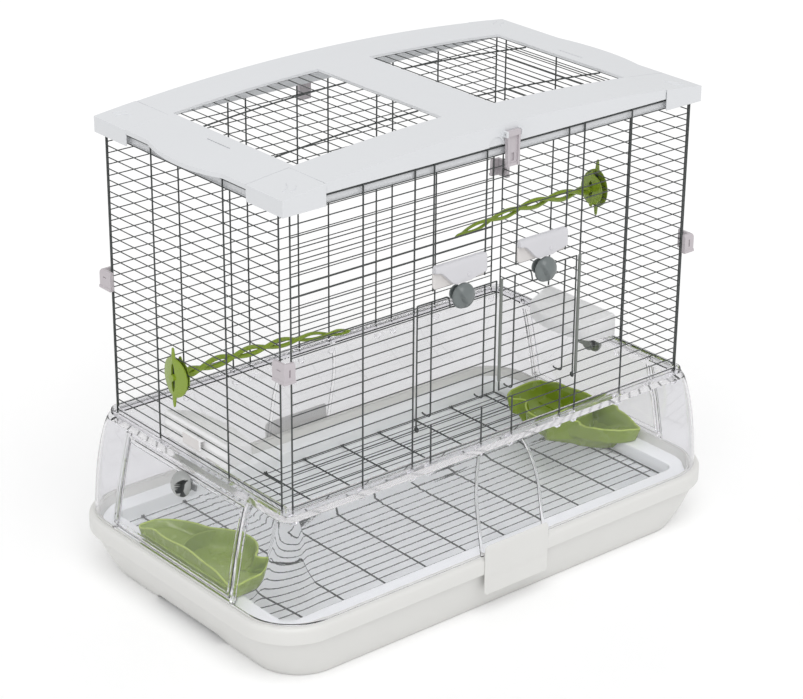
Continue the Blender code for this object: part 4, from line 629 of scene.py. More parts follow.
def base_shell():
    rings = [shell_ring(0.0010, LIP_Z)]
    rings += [shell_ring(0, z) for z in levels(LIP_Z + 0.0012, FLARE_TOP, 14)]
    rings += [shell_ring(-0.0002, FLARE_TOP + 0.0006), shell_ring(0, RAIL_TOP - 0.0005)]
    groove = RAIL_TOP - 0.0060
    for inset, z in ((0.0004, RAIL_TOP), (0.0014, RAIL_TOP), (0.0016, groove), (0.0069, groove),
                     (0.0069, RAIL_TOP), (0.0097, RAIL_TOP), (0.0099, RAIL_TOP - 0.0004),
                     (0.0099, RAIL_LOW)):
        rings.append(shell_ring(inset, z, False))
    for z in levels(RAIL_LOW, BASE_Z, 12):
        # the front left corner is thicker, which bends what is seen through it
        thick = shell_ring(SHELL_WALL, z, fuller=0.0070 * min(1.0, flare(z) / 0.0060))
        rings.append([a if a.x < 0 and a.y < 0 else b
                      for a, b in zip(thick, shell_ring(SHELL_WALL, z))])
    rings.append(shell_ring(SHELL_WALL - 0.0006, LIP_Z))
    shell = add("clear_base", loft(rings, looped=True), "clear", "cage", ["base_shell"])
    ribs, holes = [], []
    for side in (-1, 1):
        for sign in (-1, 1):
            def bay(z, sign=sign):
                return sign * (0.0430 - 0.0120 * max(0.0, (z - 0.118) / 0.056) ** 2)
            ribs.append(side_strip(1, side, bay, 0.0042, 0.0012, 0.0016))
        for y in (SIDE_LOW_Y - JAMB, SIDE_HIGH_Y + JAMB):
            ribs.append(side_strip(0, side, lambda z, y=y: y, 0.0062, 0.0040, 0.0015))
        holes.append(block(RAIL_X - 0.010, RAIL_X + 0.045, SIDE_LOW_Y, SIDE_HIGH_Y, SILL_Z,
                           HEAD_Z, sx=side))
        for low, high in ((SIDE_LOW_Y - JAMB, SIDE_LOW_Y + 0.001),
                          (SIDE_HIGH_Y - 0.001, SIDE_HIGH_Y + JAMB)):
            holes.append(long_rod(1, low, high, side * PIVOT_X, PIVOT_Z, 0.0019))
    join(shell, *ribs)
    cut(shell, *holes)
    paint(shell, "haze", hazy)
    # sockets that hold the posts, moulded under the rail
    bm = bmesh.new()
    posts = sorted(s * x for x in (EDGE_X, WIDE_POST, OPENING, *SHORT_POSTS) for s in (-1, 1))
    for side in (-1, 1):
        places = [(x, side * (RAIL_Y - SOCKET_IN), 0.0036, 0.0028) for x in posts]
        places += [(side * (RAIL_X - SOCKET_IN), y, 0.0028, 0.0036) for y in SIDE_POSTS]
        for x, y, half_x, half_y in places:
            copy_into(bm, loft([
                [p + Vector((x, y, 0)) for p in ring((half_x * s, half_y * s, 0.0012), 0, z, 3)]
                for s, z in ((0.55, 0.1668), (0.8, 0.1676), (1.0, 0.1700), (1.0, 0.1744))]))
    add("clear_sockets", bm, "haze", "cage")


def side_knob_place(name):
    joint = next(j for j in frame["joints"] if j["name"] == f"side_knob_{name}_turn")
    return Vector(joint["pos_m"]), Vector(joint["axis"]).normalized()


def side_door(name, side):
    low, high = 0.0758, HEAD_Z - 0.0006
    y0, y1 = SIDE_LOW_Y + 0.0006, SIDE_HIGH_Y - 0.0006
    wall, rib, edge = 0.0022, 0.0015, 0.0040
    boxes = [(-wall, 0, y0, y1, low, high), (0, rib, y0, y0 + edge, low, high),
             (0, rib, y1 - edge, y1, low, high), (0, rib, y0, y1, low, low + edge),
             (0, rib, y0, y1, high - edge, high)]

    def follow(point):
        return Vector((side * (RAIL_X + flare(point.z) + point.x), point.y, point.z))

    body = "side_door_" + name
    door = add("clear_door_" + name, bars(boxes, ((), (), levels(low, high, 12)), follow),
               "clear", body, [body])
    join(door, *(long_rod(1, start, end, side * PIVOT_X, PIVOT_Z, 0.0016, 16) for start, end in
                 ((y0 + 0.003, SIDE_LOW_Y - 0.0024), (y1 - 0.003, SIDE_HIGH_Y + 0.0024))))
    place, outward = side_knob_place(name)
    cut(door, rod(place - outward * 0.007, place + outward * 0.005, 0.0041))
    edge += 0.0002
    paint(door, "haze", lambda c: not (y0 + edge <= c.y <= y1 - edge
                                       and low + edge <= c.z <= high - edge))


# Tray

def tray():
    wall = [size - 0.0050 for size in RIM]
    t, lip_z, wall_z = 0.0030, SHELF_Z - 0.0033, 0.0500
    rings = [ring(RIM, 0.0210, lip_z - t), ring(wall, t, lip_z - t), ring(wall, t, wall_z),
             ring(FOOT, t, 0.0), ring(FOOT, 0.0008, 0.0),
             ring((FOOT[0] + 0.0004, FOOT[1] + 0.0003, FOOT[2] + 0.0002), 0, 0.0012)]
    # outer wall, slightly full, then the rolled rim
    for share in (0.15, 0.35, 0.55, 0.75, 0.9, 1.0):
        x, y, radius = (low + (high - low) * share for low, high in zip(FOOT, wall))
        full = sin(pi * share) * 0.0016
        rings.append(ring((x + full, y + full, radius), 0, wall_z * share))
    for reach, z in ((0.0002, 0.0506), (0.0008, 0.0511), (0.0040, 0.0514), (0.0049, 0.0522),
                     (0.0050, 0.0580), (0.0050, 0.0640), (0.0047, 0.0668), (0.0036, 0.0688),
                     (0.0018, 0.0698), (-0.0004, 0.0700)):
        rings.append(ring(wall, -reach, z))
    # two fine grooves on top of the rim, one on each side of the base's lip
    for inset, z in ((0.0066, 0.0700), (0.0069, 0.0687), (0.0077, 0.0687), (0.0080, 0.0700),
                     (0.0117, 0.0700), (0.0120, 0.0686), (0.0129, 0.0686), (0.0132, 0.0699),
                     (0.0140, 0.0698), (0.0170, SHELF_Z), (0.0170, lip_z), (0.0210, lip_z)):
        rings.append(ring(RIM, inset, z))
    body = add("tray_wall", loft(rings, looped=True), "tray", "tray", ["tray"])
    ears, arches, bores = [], [], []
    arch = [(0.0640, -0.006), (0.0630, 0.0), (0.0585, 0.0045), (0.0535, 0.0080), (0.0480, 0.0090)]
    arch += [(-u, v) for u, v in reversed(arch)]
    near, far, ear_r = 0.0203, 0.0253, 0.0031
    for side in (-1, 1):
        y = side * PIN_Y
        for end in (-1, 1):
            ears.append(block(near, far, 0.1765, PIN_Y, PIN_Z - ear_r, PIN_Z + ear_r, sx=end,
                              sy=side))
            ears.append(long_rod(0, end * near, end * far, y, PIN_Z, ear_r))
        arches.append(prism(arch, 0, side * 0.2775, side * RIM[0]))
        bores.append(long_rod(0, -0.0310, 0.0310, y, PIN_Z, PIN_BORE, 16))
    join(body, *ears)
    cut(body, *arches)
    cut(body, *bores)


def tray_pan():
    t, edge = 0.0030, 0.0173
    ledge, basin = ((BASIN_X - u, BASIN_Y - u, r) for u, r in ((0.0060, 0.0060), (0.0, 0.0120)))
    rings = [ring(ledge, 0, 0.0010), ring(ledge, -t, LEDGE_Z - t), ring(basin, -t, LEDGE_Z - t),
             ring(basin, -t, SHELF_Z - t), ring(RIM, edge, SHELF_Z - t),
             ring(RIM, edge, SHELF_Z - 0.0005), ring(RIM, edge + 0.0005, SHELF_Z)]
    for inset, z, radius in ((-0.0012, SHELF_Z, 0.0132), (-0.0003, SHELF_Z - 0.0004, 0.0123),
                             (0.0, SHELF_Z - 0.0014, 0.012), (0.0, LEDGE_Z + 0.0008, 0.012),
                             (0.0008, LEDGE_Z, 0.0112), (0.0055, LEDGE_Z, 0.0066),
                             (0.0062, LEDGE_Z - 0.0008, 0.006), (0.0084, 0.0075, 0.004),
                             (0.0092, 0.0052, 0.003), (0.0115, 0.0040, 0.002)):
        rings.append(ring((BASIN_X - inset, BASIN_Y - inset, radius), 0, z))
    add("tray_inner_pan", loft(rings), "pan", "tray", ["tray_pan"])


def tray_latch(name, side):
    """Flap in front of the rim: a smooth panel with a recessed lower field and rolled edges."""
    face, half, low, high = 0.1883, 0.0440, 0.0280, 0.0850

    def place(layer, u, z):
        out = 0.0016
        if z < 0.0500 and abs(u) < half - 0.0045:
            out -= 0.0007 * min(1.0, (0.0500 - z) / 0.0035)
        if z > 0.0790:
            out -= 0.0010 * ((z - 0.0790) / 0.0060) ** 2
        out *= layer * (0.55 + 0.45 * sqrt(clamp((half - abs(u)) / 0.0030)))
        drop = corner_drop(u, half, 0.0028)
        near, far = low + drop, high - drop
        return u, side * (face + out), near + (far - near) * (z - low) / (high - low)

    us = [half * k / 16 for k in range(-16, 17)]
    body = "tray_latch_" + name
    flap = add("flap_" + name, sheet(us, levels(low, high, 20), place), "tray", body, [body],
               sharp=50)
    join(flap, block(-0.0200, 0.0200, 0.1810, face + 0.0004, 0.0282, 0.0348, sy=side))
    # finger recess low on the flap, and the pin's bore
    cut(flap, block(-0.0330, -0.0400, face + 0.0012, 0.1960, 0.0295, 0.0385, sx=side, sy=side),
        long_rod(0, -0.0460, 0.0460, side * PIN_Y, PIN_Z, PIN_BORE, 16))


# Roof

def roof_warp(point):
    x, y, z = point
    if z > SEAT_Z + 0.0012 + 1e-6:
        z += arch_lift(x)
    if abs(x) > COVER_X - COVER_WALL - 1e-6 and abs(y) < BOW_Y:
        bow = 1 - (y / BOW_Y) ** 2
        x += copysign(0.0100 * bow, x)
        z -= 0.0015 * bow
    return Vector((x, y, z))


def roof():
    low, skirt_top = EDGE_Z - ROOF_T, SEAT_Z - REST_GAP
    main_x, wing_y = CAP_IN_X - REST_GAP, CAP_IN_Y - REST_GAP
    xs = [COVER_X * i / 28 for i in range(-28, 29)]
    ys = [BOW_Y * i / 10 for i in range(-10, 11)]
    skirt_x, skirt_y = SKIRT_X - SKIRT_T, SKIRT_Y - SKIRT_T
    cover_sides = [
        (WINDOW_FAR, main_x, -COVER_Y, COVER_Y, low, EDGE_Z),
        (main_x, COVER_X, -wing_y, wing_y, low, EDGE_Z),
        (COVER_X - COVER_WALL, COVER_X, -wing_y, wing_y, SEAT_Z, low),
        (-main_x, main_x, WINDOW_Y, COVER_Y, low, EDGE_Z),
        (-main_x, main_x, COVER_Y - COVER_WALL, COVER_Y, SEAT_Z, low),
        (-main_x, main_x, skirt_y, COVER_Y, SEAT_Z, SEAT_Z + 0.0012)]
    skirt_sides = [(-SKIRT_X, SKIRT_X, skirt_y, SKIRT_Y, SKIRT_LOW, skirt_top),
                   (skirt_x, SKIRT_X, -SKIRT_Y, SKIRT_Y, SKIRT_LOW, skirt_top)]
    cap_corner = [
        (CAP_IN_X, CAP_X, CAP_IN_Y, CAP_Y, low, EDGE_Z),
        (CAP_X - 0.0014, CAP_X, CAP_IN_Y, CAP_Y, SKIRT_LOW, low),
        (CAP_IN_X, CAP_X, CAP_Y - 0.0014, CAP_Y, SKIRT_LOW, low),
        (CAP_IN_X, SKIRT_X, skirt_y, SKIRT_Y, skirt_top, low),
        (skirt_x, SKIRT_X, CAP_IN_Y, SKIRT_Y, skirt_top, low)]
    boxes = [(-WINDOW_NEAR, WINDOW_NEAR, -COVER_Y, COVER_Y, low, EDGE_Z)]
    caps, ears, holes = [], [], []
    for side in (-1, 1):
        boxes += [flip(box, side, side) for box in cover_sides]
        caps += [flip(box, side, side) for box in skirt_sides]
        centre = -side * LATCH_X
        for end in (-1, 1):
            near = centre + end * 0.0088
            ears.append(block(near, near + end * 0.0022, COVER_Y - COVER_WALL / 2, LATCH_Y + 0.0030,
                              LATCH_Z - 0.0030, LATCH_Z + 0.0030, sy=side))
        holes.append(long_rod(0, centre - 0.0130, centre + 0.0130, side * LATCH_Y, LATCH_Z,
                              LATCH_BORE, 16))
        # finger recess in the long edge beside each latch
        holes.append(long_rod(1, side * (COVER_Y - 0.0013), side * (COVER_Y + 0.0060),
                              centre + side * 0.0190, SEAT_Z + 0.0005, 0.0090, 32))
        # short slot beside each window's outer edge
        holes.append(block(0.2330, 0.2345, -0.0190, 0.0190, EDGE_Z - 0.006, EDGE_Z + 0.03,
                           sx=side))
    cover = add("roof_top", bars(boxes, (xs, ys, ()), roof_warp), "roof", "roof", ["roof_cover"],
                bevel=0.0009, sharp=50)
    join(cover, *ears)
    cut(cover, *holes)
    bm = bmesh.new()
    for sx in (-1, 1):
        for sy in (-1, 1):
            caps += [flip(box, sx, sy) for box in cap_corner]
            # faint curved marks moulded on the corner caps
            for radius, start, end in ((0.016, 100, 165), (0.024, 105, 140)):
                path = []
                for angle in levels(radians(start), radians(end), 8):
                    x = sx * (0.2640 + radius * cos(angle))
                    y = sy * (0.1230 + radius * sin(angle))
                    path.append((x, y, EDGE_Z + arch_lift(x) + 0.0001))
                tube(bm, path, 0.0006, 6)
    xs = [x for x in xs if abs(x) > CAP_IN_X]
    add("roof_caps", bars(caps, (xs, (), ()), roof_warp), "roof", "roof", ["roof_frame"],
        bevel=0.0007, sharp=50)
    add("cap_marks", bm, "roof", "roof")


def roof_latch(name, side):
    w, plate, ridge = 0.0085, 0.0024, 0.0022
    # the back latch is a little longer than the front one
    low, high = 0.4800 if side < 0 else 0.4705, LATCH_Z + 0.0022
    back = COVER_Y + 0.0009
    front, proud, centre = back + plate, back + plate + ridge, -side * LATCH_X
    boxes = [(-w, w, back, front, low, high), (-w, -w + ridge, front, proud, low, high),
             (w - ridge, w, front, proud, low, high), (-w, w, front, proud, LATCH_Z - 0.0030, high),
             (-w, w, front, front + 0.0009, low, low + 0.0030)]

    def taper(point):
        x = point.x * (1 - 0.12 * (high - point.z) / (high - low))
        return Vector((centre + x, side * point.y, point.z))

    body = "roof_latch_" + name
    latch = add("clip_channel_" + name, bars(boxes, ((), (), levels(low, high, 6)), taper),
                "clip", body, [body], bevel=0.0005)
    cut(latch, long_rod(0, -0.03, 0.03, side * LATCH_Y, LATCH_Z, LATCH_BORE, 16),
        block(centre - 0.0020, centre + 0.0020, back + 0.0008, proud + 0.001, low + 0.0050,
              low + 0.0135, sy=side))


def corner_clip(name, sx, sy):
    in_x, in_y = 0.2710, 0.1522
    out_x, out_y = in_x + 0.0045, in_y + 0.0045
    end_x, end_y = in_x - 0.0088, in_y - 0.0150
    low, high = 0.3225, 0.3430
    boxes = [(end_x, out_x, in_y, out_y, low, high), (in_x, out_x, end_y, out_y, low, high),
             (end_x - 0.0005, out_x + 0.0006, in_y + 0.0010, out_y + 0.0006, low, low + 0.0030),
             (in_x + 0.0010, out_x + 0.0006, end_y, out_y, low, low + 0.0030)]

    def place(point):
        # the top leans in, as if rounded over
        top = max(0.0, (point.z - (high - 0.0040)) / 0.0040) ** 2 * 0.0016
        x = point.x - (top if point.x > in_x + 0.002 else 0)
        y = point.y - (top if point.y > in_y + 0.002 else 0)
        return Vector((sx * x, sy * y, point.z))

    steps = (high - 0.0040, high - 0.0022, high - 0.0010)
    clip = add("clip_" + name, bars(boxes, ((), (), steps), place), "clip", "cage",
               ["corner_clip_" + name], bevel=0.0007, segments=3)
    cut(clip, *(block(*box, sx=sx, sy=sy) for box in (
        (out_x - 0.0058, out_x - 0.0074, out_y - 0.0018, 0.1700, 0.3290, 0.3372),
        (out_x - 0.0010, 0.2900, out_y - 0.0120, out_y - 0.0062, 0.3352, 0.3362))))


# Knobs and shields

def knob(name, place, outward, up, back, front, node, reach, look, high, press):
    """Full round dome with a thumb hollow, a shaft through the door and a lug behind."""
    turn = Matrix((up.cross(outward), up, outward)).transposed().to_4x4()
    turn.translation = place
    base = front + 0.0016
    profile = [(0.0078, -back - 0.0022), (0.0080, -back - 0.0018), (0.0080, -back),
               (0.0038, -back), (0.0038, front), (KNOB_R - 0.0012, front),
               (KNOB_R - 0.0002, front + 0.0007)]
    for k in range(14):
        angle = pi / 2 * k / 14
        profile.append((KNOB_R * cos(angle), base + (high - 0.0016) * sin(angle)))
    bm = bmesh.new()
    rows = [[bm.verts.new(press(radius * cos(a), radius * sin(a), height, base))
             for a in angles(56)] for radius, height in profile]
    skin(bm, rows)
    bm.faces.new(rows[0])
    tip = bm.verts.new(press(0, 0, front + high, base))
    for a, b in zip(rows[-1], rows[-1][1:] + rows[-1][:1]):
        bm.faces.new((a, b, tip))
    lug = block(0, reach, -0.0030, 0.0030, -back - 0.0020, -back - 0.0002)
    for part in (bm, lug):
        bmesh.ops.transform(part, matrix=turn, verts=part.verts)
    made = add(name, bm, look, node, [node], sharp=60)
    join(made, lug)
    made.data.set_sharp_from_angle(angle=radians(50))
    return made, turn


def dish(x, y, height, base):
    """Press a hollow into the dome on one side of a slanted ridge."""
    u, v = x / KNOB_R, y / KNOB_R
    across = (-0.296 - 0.488 * v) - u
    if height <= base or across <= 0:
        return (x, y, height)
    deep = ease(min(1.0, across / 0.16)) * (0.50 + 0.15 * v)
    return (x, y, base + (height - base) * (1 - deep))


def door_knob(name, side):
    place = Vector((side * KNOB_X, -PLANE_Y, KNOB_Z))
    knob("knob_" + name, place, Vector((0, -1, 0)), Vector((0, 0, 1)), 0.0023, 0.0059,
         "door_knob_" + name, 0.0130, "knob", 0.0115, dish)


def in_hollow(x, y):
    """How far a point lies inside the side knob's thumb hollow, half a lens in shape."""
    u, v = x / KNOB_R, y / KNOB_R
    middle, half, edge = -0.20, 0.76, 0.80
    bow = 0.66 * sqrt(max(0.0, 1 - ((v - middle) / half) ** 2))
    return min(edge - u, u - edge + bow) if abs(v - middle) < half else -1.0


def hollow(x, y, height, base):
    deep = clamp(in_hollow(x, y) / 0.05)
    return (x, y, height - (height - base) * 0.62 * deep if height > base else height)


def side_knob(name, side):
    place, outward = side_knob_place(name)
    up = (Vector((0, 0, 1)) - outward * outward.z).normalized()
    made, turn = knob("side_dial_" + name, place, outward, up, 0.0034, 0.0018,
                      "side_knob_" + name, 0.0148, "dial", 0.0125, hollow)
    back = turn.inverted()

    def inside(point):
        spot = back @ point
        return spot.z > 0.0040 and in_hollow(spot.x, spot.y) > 0.0

    # the thumb hollow is painted near black: painted shade in the hollow
    paint(made, "painted_shade", inside)


def shield(name, side):
    """Shield over a door knob: a flat plate with a full, rounded boss hanging from its top."""
    inner = PLANE_Y + 2 * POST_R + REST_GAP
    x_low, x_high = (-0.0910, -0.0235) if side < 0 else (0.0205, 0.0860)
    centre, half = (x_low + x_high) / 2, (x_high - x_low) / 2
    low, high = 0.3722, 0.3968

    def boss(u, z):
        """Share of the boss's height: one inside its rounded lower edge, nothing below it."""
        if u < 0:
            drop = 0.34 + 0.70 * ease(clamp((u + half * 0.92) / (half * 0.74)))
        else:
            drop = 1.04 - 0.20 * max(0.0, (u - 0.012) / (half - 0.012)) ** 0.8
        return ease(clamp((z - high + (high - low) * drop) / 0.0017))

    def place(layer, u, share):
        shrink = corner_drop(u, half, 0.0030)
        near, far = low + shrink, high - shrink
        z = near + (far - near) * share
        fall = max(0.0, (z - (high - 0.0050)) / 0.0050)
        depth = 0.0018 + 0.0046 * boss(u, z) * sqrt(max(0.0, 1 - 0.85 * fall * fall))
        depth *= 0.75 + 0.25 * min(1.0, (half - abs(u)) / 0.0012)
        return centre + u, -inner - layer * depth, z

    made = add("shield_" + name, sheet(levels(-half, half, 66), levels(0, 1, 34), place),
               "shield", "cage", ["door_plate_" + name], sharp=50)
    paint(made, "plate", lambda c: boss(c.x - centre, c.z) < 0.5)
    # small round stud on the boss
    stud = long_rod(1, -inner - 0.0050, -inner - 0.0070, centre + 0.0090, 0.3800, 0.0022)
    add("shield_stud_" + name, stud, "shield", "cage", bevel=0.0004)


# Cups, hoods and perches

CUP_RIM_LINE = (
    (-0.2893, -0.0800), (-0.2893, -0.0400), (-0.2893, 0.0010), (-0.2893, 0.0420),
    (-0.2893, 0.0740), (-0.2860, 0.0835), (-0.2760, 0.0825), (-0.2620, 0.0765),
    (-0.2490, 0.0630), (-0.2390, 0.0460), (-0.2335, 0.0300), (-0.2235, 0.0170),
    (-0.2150, 0.0030), (-0.2122, -0.0130), (-0.2150, -0.0290), (-0.2235, -0.0420),
    (-0.2320, -0.0500), (-0.2300, -0.0565), (-0.2245, -0.0620), (-0.2225, -0.0690),
    (-0.2265, -0.0760), (-0.2380, -0.0825), (-0.2540, -0.0850), (-0.2720, -0.0862),
    (-0.2850, -0.0858))
CUP_HEART = Vector((-0.2560, -0.0060, 0))


def cup(name, side):
    """Long cup on the shelf: a round bowl that hangs into the basin, a sloping apron behind it,
    a spout beside it and a raised wavy wall along the side door."""
    line = [Vector((*p, 0)) for p in CUP_RIM_LINE]
    wall = line[0].x
    path = []
    for i in range(len(line)):
        path += spline(*(line[(i + k) % len(line)] for k in (-1, 0, 1, 2)), 5)

    def place(x, y, z):
        return Vector((x, y, z)) if side < 0 else Vector((-x, 0.0020 - y, z))

    def rim(point):
        outer = clamp((-0.2700 - point.x) / 0.0160)
        wave = 0.0092 + 0.0018 * cos((point.y + 0.006) / 0.0125)
        soft = ease(clamp((0.0800 - abs(point.y)) / 0.0320))
        return 0.0790 + outer * soft * wave + (1 - outer) * 0.0022

    def level(scale, z=None, wall=wall, drop=0.0, inset=0.0, apron=False):
        """Ring round the cup's heart; without z it follows the rim, drop below it."""
        row = []
        for k, point in enumerate(path):
            along = (path[(k + 1) % len(path)] - path[k - 1]).normalized()
            x, y, _ = CUP_HEART + (point - CUP_HEART) * scale
            x, y = x + along.y * inset, y - along.x * inset
            height = rim(point) - drop if z is None else z
            if apron:
                height = max(height, 0.0600 + 0.0150 * clamp((y - 0.0200) / 0.0480))
            row.append(place(max(x, wall), y, height))
        return row

    body = "cup_" + name
    shelf = SHELF_Z + 0.0004
    rings = [level(*row) for row in (
        (0.66, 0.0500, -0.2680), (0.71, 0.0504, -0.2692), (0.80, 0.0600, -0.2702),
        (0.82, shelf - 0.0002, -0.2704), (0.925, shelf + 0.0002, -0.2880),
        (0.945, shelf + 0.0012, -0.2888), (0.960, 0.0660), (0.985, 0.0740),
        (1.0, None, wall, 0.0012), (1.0, None, wall, 0.0003), (1.0, None, wall, 0, 0.0007),
        (1.0, None, wall, 0, 0.0014), (1.0, None, wall, 0.0007, 0.0021),
        (0.955, 0.0740, -0.2872, 0, 0.0018), (0.90, 0.0680, -0.2866, 0, 0.0014, True),
        (0.84, 0.0640, -0.2850, 0, 0, True), (0.74, 0.0600, -0.2678, 0, 0, True),
        (0.66, 0.0545, -0.2665, 0, 0, True), (0.58, 0.0524, -0.2655, 0, 0, True),
        (0.30, 0.0522, -0.2650, 0, 0, True))]
    add("bowl_" + name, loft(rings), "green", body, [body], sharp=60)
    # round wall between the bowl and the apron, and two ridges along the outer wall
    rings = []
    for k in range(25):
        angle = radians(28 + 122 * k / 24)
        x, y = -0.2500 + 0.0400 * cos(angle), -0.0120 + 0.0400 * sin(angle)
        if x < -0.2868:
            continue
        out = Vector((cos(angle), sin(angle), 0)) * (-side * 0.0009)
        top = 0.0765 + 0.0030 * sin(pi * k / 24)
        rings.append([place(x, y, 0.0600) - out, place(x, y, top) - out,
                      place(x, y, top + 0.0007), place(x, y, top) + out,
                      place(x, y, 0.0600) + out])
    bm = bmesh.new()
    copy_into(bm, loft(rings))
    for x, z, reach in ((-0.2886, 0.0664, 0.0700), (-0.2892, 0.0752, 0.0740)):
        tube(bm, [place(x, y * reach, z) for y in (-1, -0.5, 0, 0.5, 1)], 0.0010)
    add("bowl_ridges_" + name, bm, "green", body)
    bm = bmesh.new()
    # rim bead in the lighter lime: painted light along the cup's rim
    tube(bm, level(1.0, None, wall, 0.0004, 0.0010), 0.0011, loop=True)
    add("bowl_rim_painted_glow_" + name, bm, "edge", body)


def hood(name, side):
    def outline(inset, z, slope=0.0):
        low, high = -0.0520 + inset, 0.0580 - inset
        middle, half = (low + high) / 2, (high - low) / 2
        points = [(HOOD_WALL_X - inset, low), (HOOD_WALL_X - inset, high)]
        for i in range(21):
            share = 1 - 2 * i / 20
            reach = HOOD_REACH + (0.0322 - HOOD_REACH) * share * share
            narrow = 1 - 0.10 * abs(share) ** 8
            points.append((HOOD_WALL_X - reach + inset, middle + half * share * narrow))
        return [(side * x, y, z - slope * (HOOD_WALL_X - x) / HOOD_REACH) for x, y in points]

    fall = 0.0130
    rings = [outline(inset, z, slope) for inset, z, slope in (
        (0.0032, HOOD_TOP, fall), (0.0012, HOOD_TOP - 0.0012, fall),
        (0.0, HOOD_TOP - 0.0042, fall), (0.0, HOOD_LOW + 0.0004, 0), (0.0004, HOOD_LOW, 0),
        (0.0018, HOOD_LOW, 0), (0.0022, HOOD_LOW + 0.0004, 0), (0.0022, HOOD_TOP - 0.0022, fall))]
    canopy = add("canopy_" + name, loft(rings), "hood", "cage", ["hood_" + name], sharp=45)
    # tongue that hooks over the side panel's third row
    high = row_z(2) - ROW_R - 0.0006
    arm, hook = high - 0.0024, high - 0.0115
    inner, face = HOOD_WALL_X - 0.0011, PLANE_X + 0.0028
    shape = ((inner, arm), (face, arm), (face, hook), (face + 0.0024, hook),
             (face + 0.0024, high), (inner, high))
    join(canopy, prism([(side * u, v) for u, v in shape], 1, -0.0128, 0.0153))
    # the tongue outside the wires is painted in the darker plate colour: painted shade on the
    # hood's hanging tongue
    paint(canopy, "plate", lambda c: abs(c.x) > PLANE_X + 0.0020)


PERCHES = {   # side, length, height, place along the panel, droop
    "left": (-1, 0.2180, row_z(6) + PITCH / 2, 0.0270, 0.0110),
    "right": (1, 0.1990, row_z(13) + PITCH / 2, -0.0060, 0.0080),
}
PERCH_TWIST = 0.0410


def leaf(width, height, spike):
    """Outline of a leaf: an oval body with a narrow spike above and below."""
    points = []
    slim = 0.0024
    for angle in angles(64):
        u, v = width * sin(angle), (height - spike) * cos(angle)
        if abs(u) < slim * 1.6:
            v += copysign(spike * clamp((slim * 1.6 - abs(u)) / (slim * 0.9)), v)
            u *= 0.75
        points.append((u, v))
    return points


def lens(half_y, half_z, count):
    return [(half_y * sin(a), half_z * cos(a)) for a in angles(count)]


def slot_leaf(side, x, depth, size, y, z, fold):
    """Leaf folded along its upright middle, with a lens-shaped slot."""
    outer = leaf(*size)
    slot = lens(0.0030, size[1] * 0.48, len(outer))
    middle = [(a[0] * 0.55 + b[0] * 0.45, a[1] * 0.6 + b[1] * 0.4) for a, b in zip(outer, slot)]
    return loft([[(side * (x + out + fold * (1 - abs(u) / size[0])), y + u, z + v)
                  for u, v in shape] for shape, out in
                 ((outer, 0.0), (outer, depth * 0.6), (middle, depth), (slot, depth * 0.9),
                  (slot, 0.0), (middle, 0.0))], looped=True)


def perch(name):
    """Two strands twisted round each other, rooted in a leaf on each side of the wires."""
    side, length, z0, y0, drop = PERCHES[name]
    inner, outer = PLANE_X - 0.0018, PLANE_X + 0.0020
    bm = bmesh.new()
    for start in (0.0, pi):
        rows = []
        for share in levels(0, 1, 120):
            along = length * share
            angle = pi * along / PERCH_TWIST + start
            calm = min(1.0, share / 0.06) * min(1.0, (1 - share) / 0.10 + 0.12)
            rise = 0.0044 * calm * (1 - 0.35 * share)
            centre = Vector((side * (inner - 0.0020 - along),
                             y0 + 0.0021 * calm * sin(angle),
                             z0 - drop * share ** 2 + 0.0045 * sin(pi * share)
                             + rise * cos(angle)))
            tall = 0.00275 * (1 - 0.48 * share ** 1.5)
            if share > 0.97:
                tall *= max(0.25, sqrt(max(0.0, 1 - ((share - 0.97) / 0.031) ** 2)))
            rows.append([centre + Vector((0, tall * 1.15 * cos(a), tall * sin(a)))
                         for a in angles(12)])
        copy_into(bm, loft(rows))
    add("perch_arm_" + name, bm, "green", "cage", ["perch_" + name])
    bm = slot_leaf(-side, -inner, 0.0020, (0.0165, 0.0205, 0.0030), y0, z0, 0.0008)
    copy_into(bm, long_rod(0, side * (inner - 0.0018), side * (outer + 0.0066), y0, z0, 0.0036))
    add("perch_leaf_inner_" + name, bm, "green", "cage")
    body = "perch_leaf_" + name
    bm = slot_leaf(side, outer, 0.0022, (0.0195, 0.0330, 0.0115), y0, z0, 0.0030)
    add("perch_leaf_outer_" + name, bm, "green", body, [body])
    # thin near-black lens just behind each slot: painted shade that makes the slot read as deep
    slot = [(y0 + u, z0 + v) for u, v in lens(0.0036, 0.0168, 32)]
    add("perch_slot_painted_shade_" + name, prism(slot, 0, side * (outer + 0.0022), side * (outer + 0.0026)),
        "painted_shade", body)


# Stage

def studio():
    """White behind everything, dimmer as a light than it looks, and dimmer through plastic."""
    world = bpy.data.worlds.new("studio")
    world.use_nodes = True
    tree = world.node_tree
    rays = put(tree, "LightPath", {}).outputs
    direct = put(tree, "Math", {0: rays["Is Camera Ray"], 1: rays["Is Transmission Ray"]},
                 operation="MAXIMUM")
    veil = put(tree, "Math", {0: rays["Is Transmission Ray"], 1: -0.20, 2: 1.0},
               operation="MULTIPLY_ADD")
    lit = tree.nodes["Background"]
    feed(tree, lit, {"Color": grey(1), "Strength": 0.68})
    seen = put(tree, "Background", {"Color": grey(1), "Strength": veil.outputs["Value"]})
    mix = put(tree, "MixShader", {"Fac": direct.outputs["Value"], 1: lit.outputs["Background"],
                                  2: seen.outputs["Background"]})
    feed(tree, tree.nodes["World Output"], {"Surface": mix.outputs["Shader"]})
    bpy.context.scene.world = world


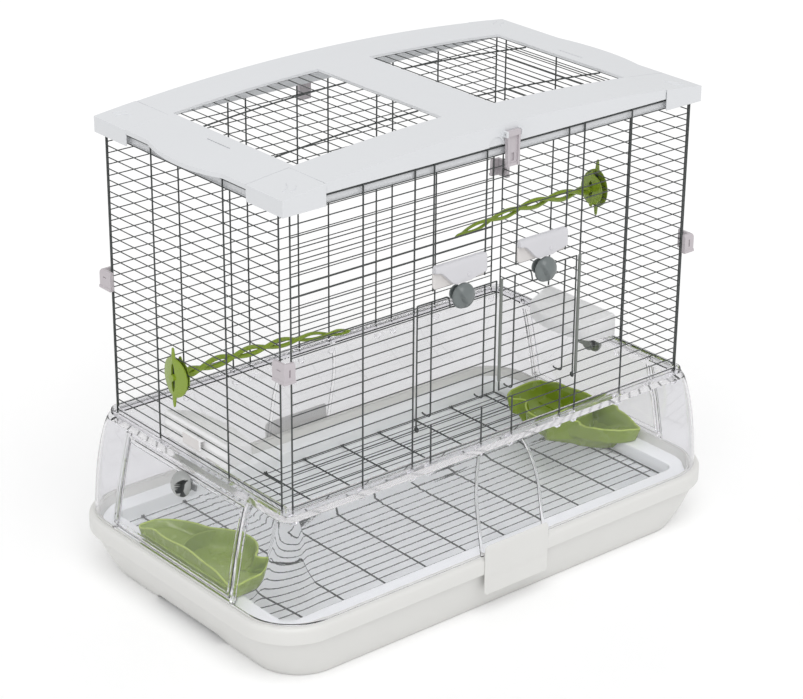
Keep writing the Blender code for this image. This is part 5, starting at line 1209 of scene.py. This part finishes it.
def pale_floor():
    """Matt floor, lifted a little towards white where it is seen directly or mirrored."""
    mat = bpy.data.materials.new("pale_floor")
    mat.use_nodes = True
    tree = mat.node_tree
    rays = put(tree, "LightPath", {}).outputs
    seen = put(tree, "Math", {0: rays["Is Camera Ray"], 1: rays["Is Glossy Ray"]},
               operation="MAXIMUM")
    lift = put(tree, "Math", {0: seen.outputs["Value"], 1: 0.10}, operation="MULTIPLY")
    feed(tree, tree.nodes["Principled BSDF"], {
        "Base Color": colour_mix(tree, rays["Is Transmission Ray"], grey(0.93), grey(0.80)),
        "Roughness": 0.9, "Specular IOR Level": 0.0, "Emission Color": grey(1),
        "Emission Strength": lift.outputs["Value"]})
    return mat


def stage():
    scene = bpy.context.scene
    scene.view_settings.view_transform = "Standard"
    studio()
    mesh = bpy.data.meshes.new("floor")
    mesh.from_pydata([(8.0 * x, 8.0 * y, -0.0003) for x, y in
                      ((-1, -1), (1, -1), (1, 1), (-1, 1))], [], [(0, 1, 2, 3)])
    mesh.materials.append(pale_floor())
    floor = linked("floor", mesh)

    key = linked("key", tune(bpy.data.lights.new("key", "SUN"), energy=1.30, angle=radians(50)))
    key.rotation_euler = Vector((-0.30, -0.50, 0.81)).to_track_quat("Z", "Y").to_euler()

    camera = linked("camera", tune(bpy.data.cameras.new("camera"), lens=110.9, sensor_width=36.0,
                                   clip_end=50.0))
    right = Vector((0.76817, -0.64020, 0.00793))
    up = Vector((0.25503, 0.31731, 0.91339))
    back = Vector((-0.58727, -0.69961, 0.40702))
    turn = Matrix((right, up, back)).transposed().to_4x4()
    turn.translation = (-1.5512, -1.8474, 1.3042)
    camera.matrix_world = turn
    scene.camera = camera


def dress():
    tray()
    tray_pan()
    floor_wires()
    base_shell()
    wire_panels()
    roof()
    for name, side in SIDES:
        for make in (side_door, side_knob, wire_door, door_knob, shield, cup, hood, roof_wires):
            make(name, side)
        perch(name)
    for end, sy in ENDS:
        for name, sx in SIDES:
            corner_clip(end + "_" + name, sx, sy)
    for name, side in ENDS:
        roof_latch(name, side)
        tray_latch(name, side)
        for node in ("tray_latch_pin_" + name, "roof_latch_pin_" + name):
            for slot in frame["nodes"][node].material_slots:
                slot.material = LOOKS["steel"]


stage()
dress()
